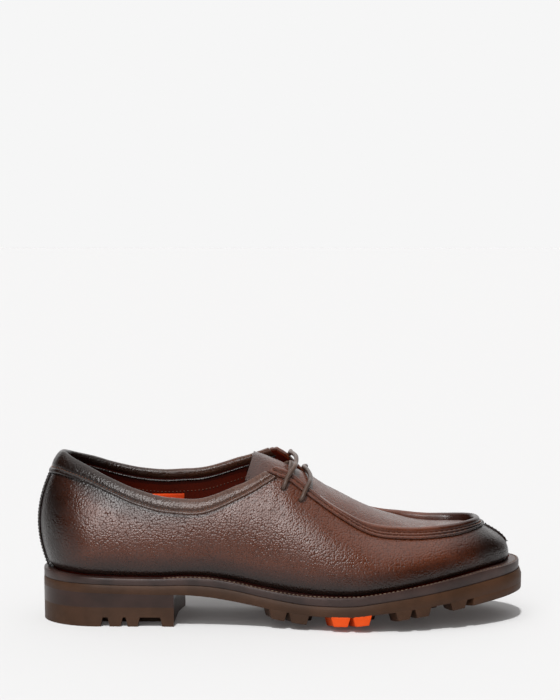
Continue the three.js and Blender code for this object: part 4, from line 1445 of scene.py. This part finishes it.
def heel():
    stack = heel_layer("heel_stack", lambda x, y: TOP_LIFT_THICK, sole_bottom)
    smooth(stack)
    finish(stack, heel_leather, ("heel_stack",))
    lift = heel_layer("heel_top_lift", lambda x, y: 0.0, lambda x, y: TOP_LIFT_THICK)
    for start, end in HEEL_NOTCHES:
        for side in (-1, 1):
            cut(lift, notch_cutter(start * LENGTH, end * LENGTH, side))
    smooth(lift)
    finish(lift, sole_rubber, ("heel_top_lift",))


# Laces
LACE_RADIUS = LACE_DIAMETER / 2
UNDER = -(WALL + LACE_RADIUS + 1.5 * GAP)
OVER = 1.6 + LACE_RADIUS


def over_flap(eyelet, side):
    """Out of the eyelet and over the flap's edge."""
    way_of = lambda place: place if side < 0 else 2 - place
    at, over = eyelet["at"], eyelet["over"]
    return [
        beside_top(way_of(at), EYELET_INSET, UNDER),
        beside_top(way_of(at), EYELET_INSET, -0.6),
        beside_top(way_of(mix(at, over, 0.15)), EYELET_INSET - 1, LACE_RADIUS - 0.1),
        beside_top(way_of(mix(at, over, 0.6)), SEAM_STRIP_WIDTH + 0.6, OVER - 0.2),
        beside_top(way_of(over), 0, OVER + GAP),
    ]


def under_flap(eyelet, side):
    way_of = lambda place: place if side < 0 else 2 - place
    at, under = eyelet["at"], eyelet["under"]
    return [
        beside_top(way_of(at), EYELET_INSET, UNDER),
        beside_top(way_of(mix(at, under, 0.4)), EYELET_INSET / 2, UNDER),
        beside_top(way_of(under), 2, UNDER),
    ]


def cord(name, points):
    bpy.ops.object.select_all(action="DESELECT")
    bpy.ops.curve.primitive_nurbs_path_add()
    piece = bpy.context.object
    curve = piece.data
    curve.splines.clear()
    spline = curve.splines.new("BEZIER")
    spline.bezier_points.add(len(points) - 1)
    for knot, point in zip(spline.bezier_points, points):
        knot.co = placed(point)
        knot.handle_left_type = knot.handle_right_type = "AUTO"
    curve.dimensions = "3D"
    curve.bevel_depth = LACE_RADIUS * MM
    curve.bevel_resolution = 6
    curve.resolution_u = 16
    curve.use_fill_caps = True
    only(piece)
    bpy.ops.object.convert(target="MESH")
    return named(name)


def laces():
    pieces = []
    lying = LACE_RADIUS + 2 * GAP
    for i, eyelet in enumerate(EYELETS):
        near, far = over_flap(eyelet, -1), over_flap(eyelet, 1)
        points = [*near[:-1], *(Vector(point) for point in BAR_POINTS[i]), *reversed(far)]
        pieces.append(cord(f"lace_bar_{i}", points))
    for side in (-1, 1):
        back, front = under_flap(EYELETS[0], side), under_flap(EYELETS[1], -side)
        crossing = [
            on_tongue(mix(back[-1].x, front[-1].x, share + 0.5), -side * share * 34, lying)
            for share in (-0.5, -0.25, 0, 0.25, 0.5)
        ]
        name = f"lace_crossing_{'lateral' if side < 0 else 'medial'}"
        pieces.append(cord(name, [*back, *crossing, *reversed(front)]))
    for i, piece in enumerate(pieces):
        smooth(piece, 60)
        finish(piece, lace_cord, () if i else ("laces",))


side_panels()
lining()
label_patch()
apron_and_tongue()
lip()
collar_band()
collar_piping()
seam_strip()
back_stay()
upper_stitches()
toe_seam()
insole()
welt()
welt_stitches()
outsole()
lugs()
toe_lug()
heel()
laces()


# Studio
FLOOR_LEVEL = 0.922
FLOOR_SHADE = 0.54
FLOOR_GLOW = 0.04
FILL = 1.8
OVERHEAD = 1.6
BACKDROP = 1.2
DARK_ROOM = 0.02
DULL_SHARE = 0.55
SOFTBOX = 9.0
SOFTBOXES = (((-185, -50), (90, 290)), ((-50, 25), (200, 420)))
SOFTBOX_AWAY = 320
SUN = 3.2
SUN_ANGLE = 4
SUN_LEAN = -24
SUN_TURN = -4


def surroundings():
    """A dark room, bright behind and overhead, with soft light from the left. The camera sees white."""
    world = bpy.data.worlds.new("studio")
    scene.world = world
    world.use_nodes = True
    tree = world.node_tree
    x, y, z = node(tree, "SeparateXYZ", {0: node(tree, "TexCoord").outputs["Generated"]}).outputs
    path = node(tree, "LightPath").outputs
    from_left, to_right = between(tree, x, -0.72, -0.42, 0.1), between(tree, x, -0.02, 0.2, 1.0, 0.12)
    left = maths(tree, "MULTIPLY", from_left, to_right)
    front = maths(tree, "MULTIPLY", left, between(tree, z, 0.0, 0.16))
    facing = maths(tree, "MULTIPLY", front, between(tree, y, -0.2, 0.1, 1.0, 0.0))
    dull = maths(tree, "SUBTRACT", 1.0, path["Is Glossy Ray"])
    fill = maths(tree, "MULTIPLY", facing, maths(tree, "MULTIPLY", dull, FILL))
    overhead = between(tree, z, 0.6, 0.97, 0.0, OVERHEAD)
    rise = between(tree, z, 0.02, 0.2, 0.3, BACKDROP)
    screen = maths(tree, "MULTIPLY", between(tree, y, 0.3, 0.7), rise)
    behind = maths(tree, "MULTIPLY", screen, between(tree, maths(tree, "ABSOLUTE", x), 0.6, 0.85, 1.0, 0.1))
    room = maths(tree, "MAXIMUM", behind, overhead)
    dimmed = maths(tree, "MULTIPLY", room, between(tree, dull, 0.0, 1.0, 1.0, DULL_SHARE))
    lit = maths(tree, "ADD", maths(tree, "MAXIMUM", fill, dimmed), DARK_ROOM)
    background = tree.nodes["Background"]
    background.inputs["Color"].default_value = (1, 1, 1, 1)
    level = node(tree, "Mix", {"Factor": path["Is Camera Ray"], "A": lit, "B": FLOOR_LEVEL})
    tree.links.new(level.outputs["Result"], background.inputs["Strength"])


def softbox(wide, tall):
    """A lit card in front of the shoe, seen only as a sheen on it."""
    (left, right), (low, high) = wide, tall
    middle = Vector(((left + right) / 2, -SOFTBOX_AWAY, (low + high) / 2)) * MM
    bpy.ops.mesh.primitive_plane_add(size=1, location=middle, rotation=(-pi / 2, 0, 0))
    card = named("softbox")
    card.scale = ((right - left) * MM, (high - low) * MM, 1)
    material, _, surface, _ = new_material("softbox_glow")
    surface.inputs["Base Color"].default_value = (0, 0, 0, 1)
    surface.inputs["Emission Color"].default_value = (1, 1, 1, 1)
    surface.inputs["Emission Strength"].default_value = SOFTBOX
    card.data.materials.append(material)
    card.visible_camera = False
    card.visible_diffuse = False
    card.visible_shadow = False


def studio():
    bpy.ops.mesh.primitive_plane_add(size=24)
    floor = named("floor")
    material, tree, surface, coords = new_material("white_floor")
    reflected = node(tree, "LightPath").outputs["Is Glossy Ray"]
    y = node(tree, "SeparateXYZ", {0: coords["Object"]}).outputs["Y"]
    flagged = maths(tree, "MULTIPLY", reflected, between(tree, y, -0.42, -0.16, 0.9, 0.0))
    shade = (FLOOR_SHADE, FLOOR_SHADE, FLOOR_SHADE, 1)
    tree.links.new(blend_colors(tree, flagged, shade, (0, 0, 0, 1)), surface.inputs["Base Color"])
    glow = (1, 0.9, 0.88, 1)
    tree.links.new(blend_colors(tree, flagged, glow, (0, 0, 0, 1)), surface.inputs["Emission Color"])
    surface.inputs["Emission Strength"].default_value = FLOOR_GLOW
    surface.inputs["Roughness"].default_value = 0.8
    surface.inputs["Specular IOR Level"].default_value = 0
    floor.data.materials.append(material)
    surroundings()
    for wide, tall in SOFTBOXES:
        softbox(wide, tall)
    bpy.ops.object.light_add(type="SUN", rotation=(radians(-SUN_LEAN), radians(SUN_TURN), 0))
    bpy.context.object.visible_glossy = False
    lamp = bpy.context.object.data
    lamp.angle = radians(SUN_ANGLE)
    lamp.energy = SUN


def camera():
    aim = placed(AIM)
    tilt, turn = radians(RISE), radians(TURN)
    back = Vector((sin(turn) * cos(tilt), -cos(turn) * cos(tilt), sin(tilt)))
    bpy.ops.object.camera_add(location=aim + back * DISTANCE * MM, rotation=(pi / 2 - tilt, 0, turn))
    made = bpy.context.object
    made.data.sensor_width = SENSOR
    made.data.lens = PIXELS_PER_MM * DISTANCE * SENSOR / PHOTO_HEIGHT
    made.data.shift_x = (PHOTO_WIDTH / 2 - AIM_PIXEL.x) / PHOTO_HEIGHT
    made.data.shift_y = (AIM_PIXEL.y - PHOTO_HEIGHT / 2) / PHOTO_HEIGHT
    scene.camera = made


studio()
camera()
scene.view_settings.view_transform = "Standard"
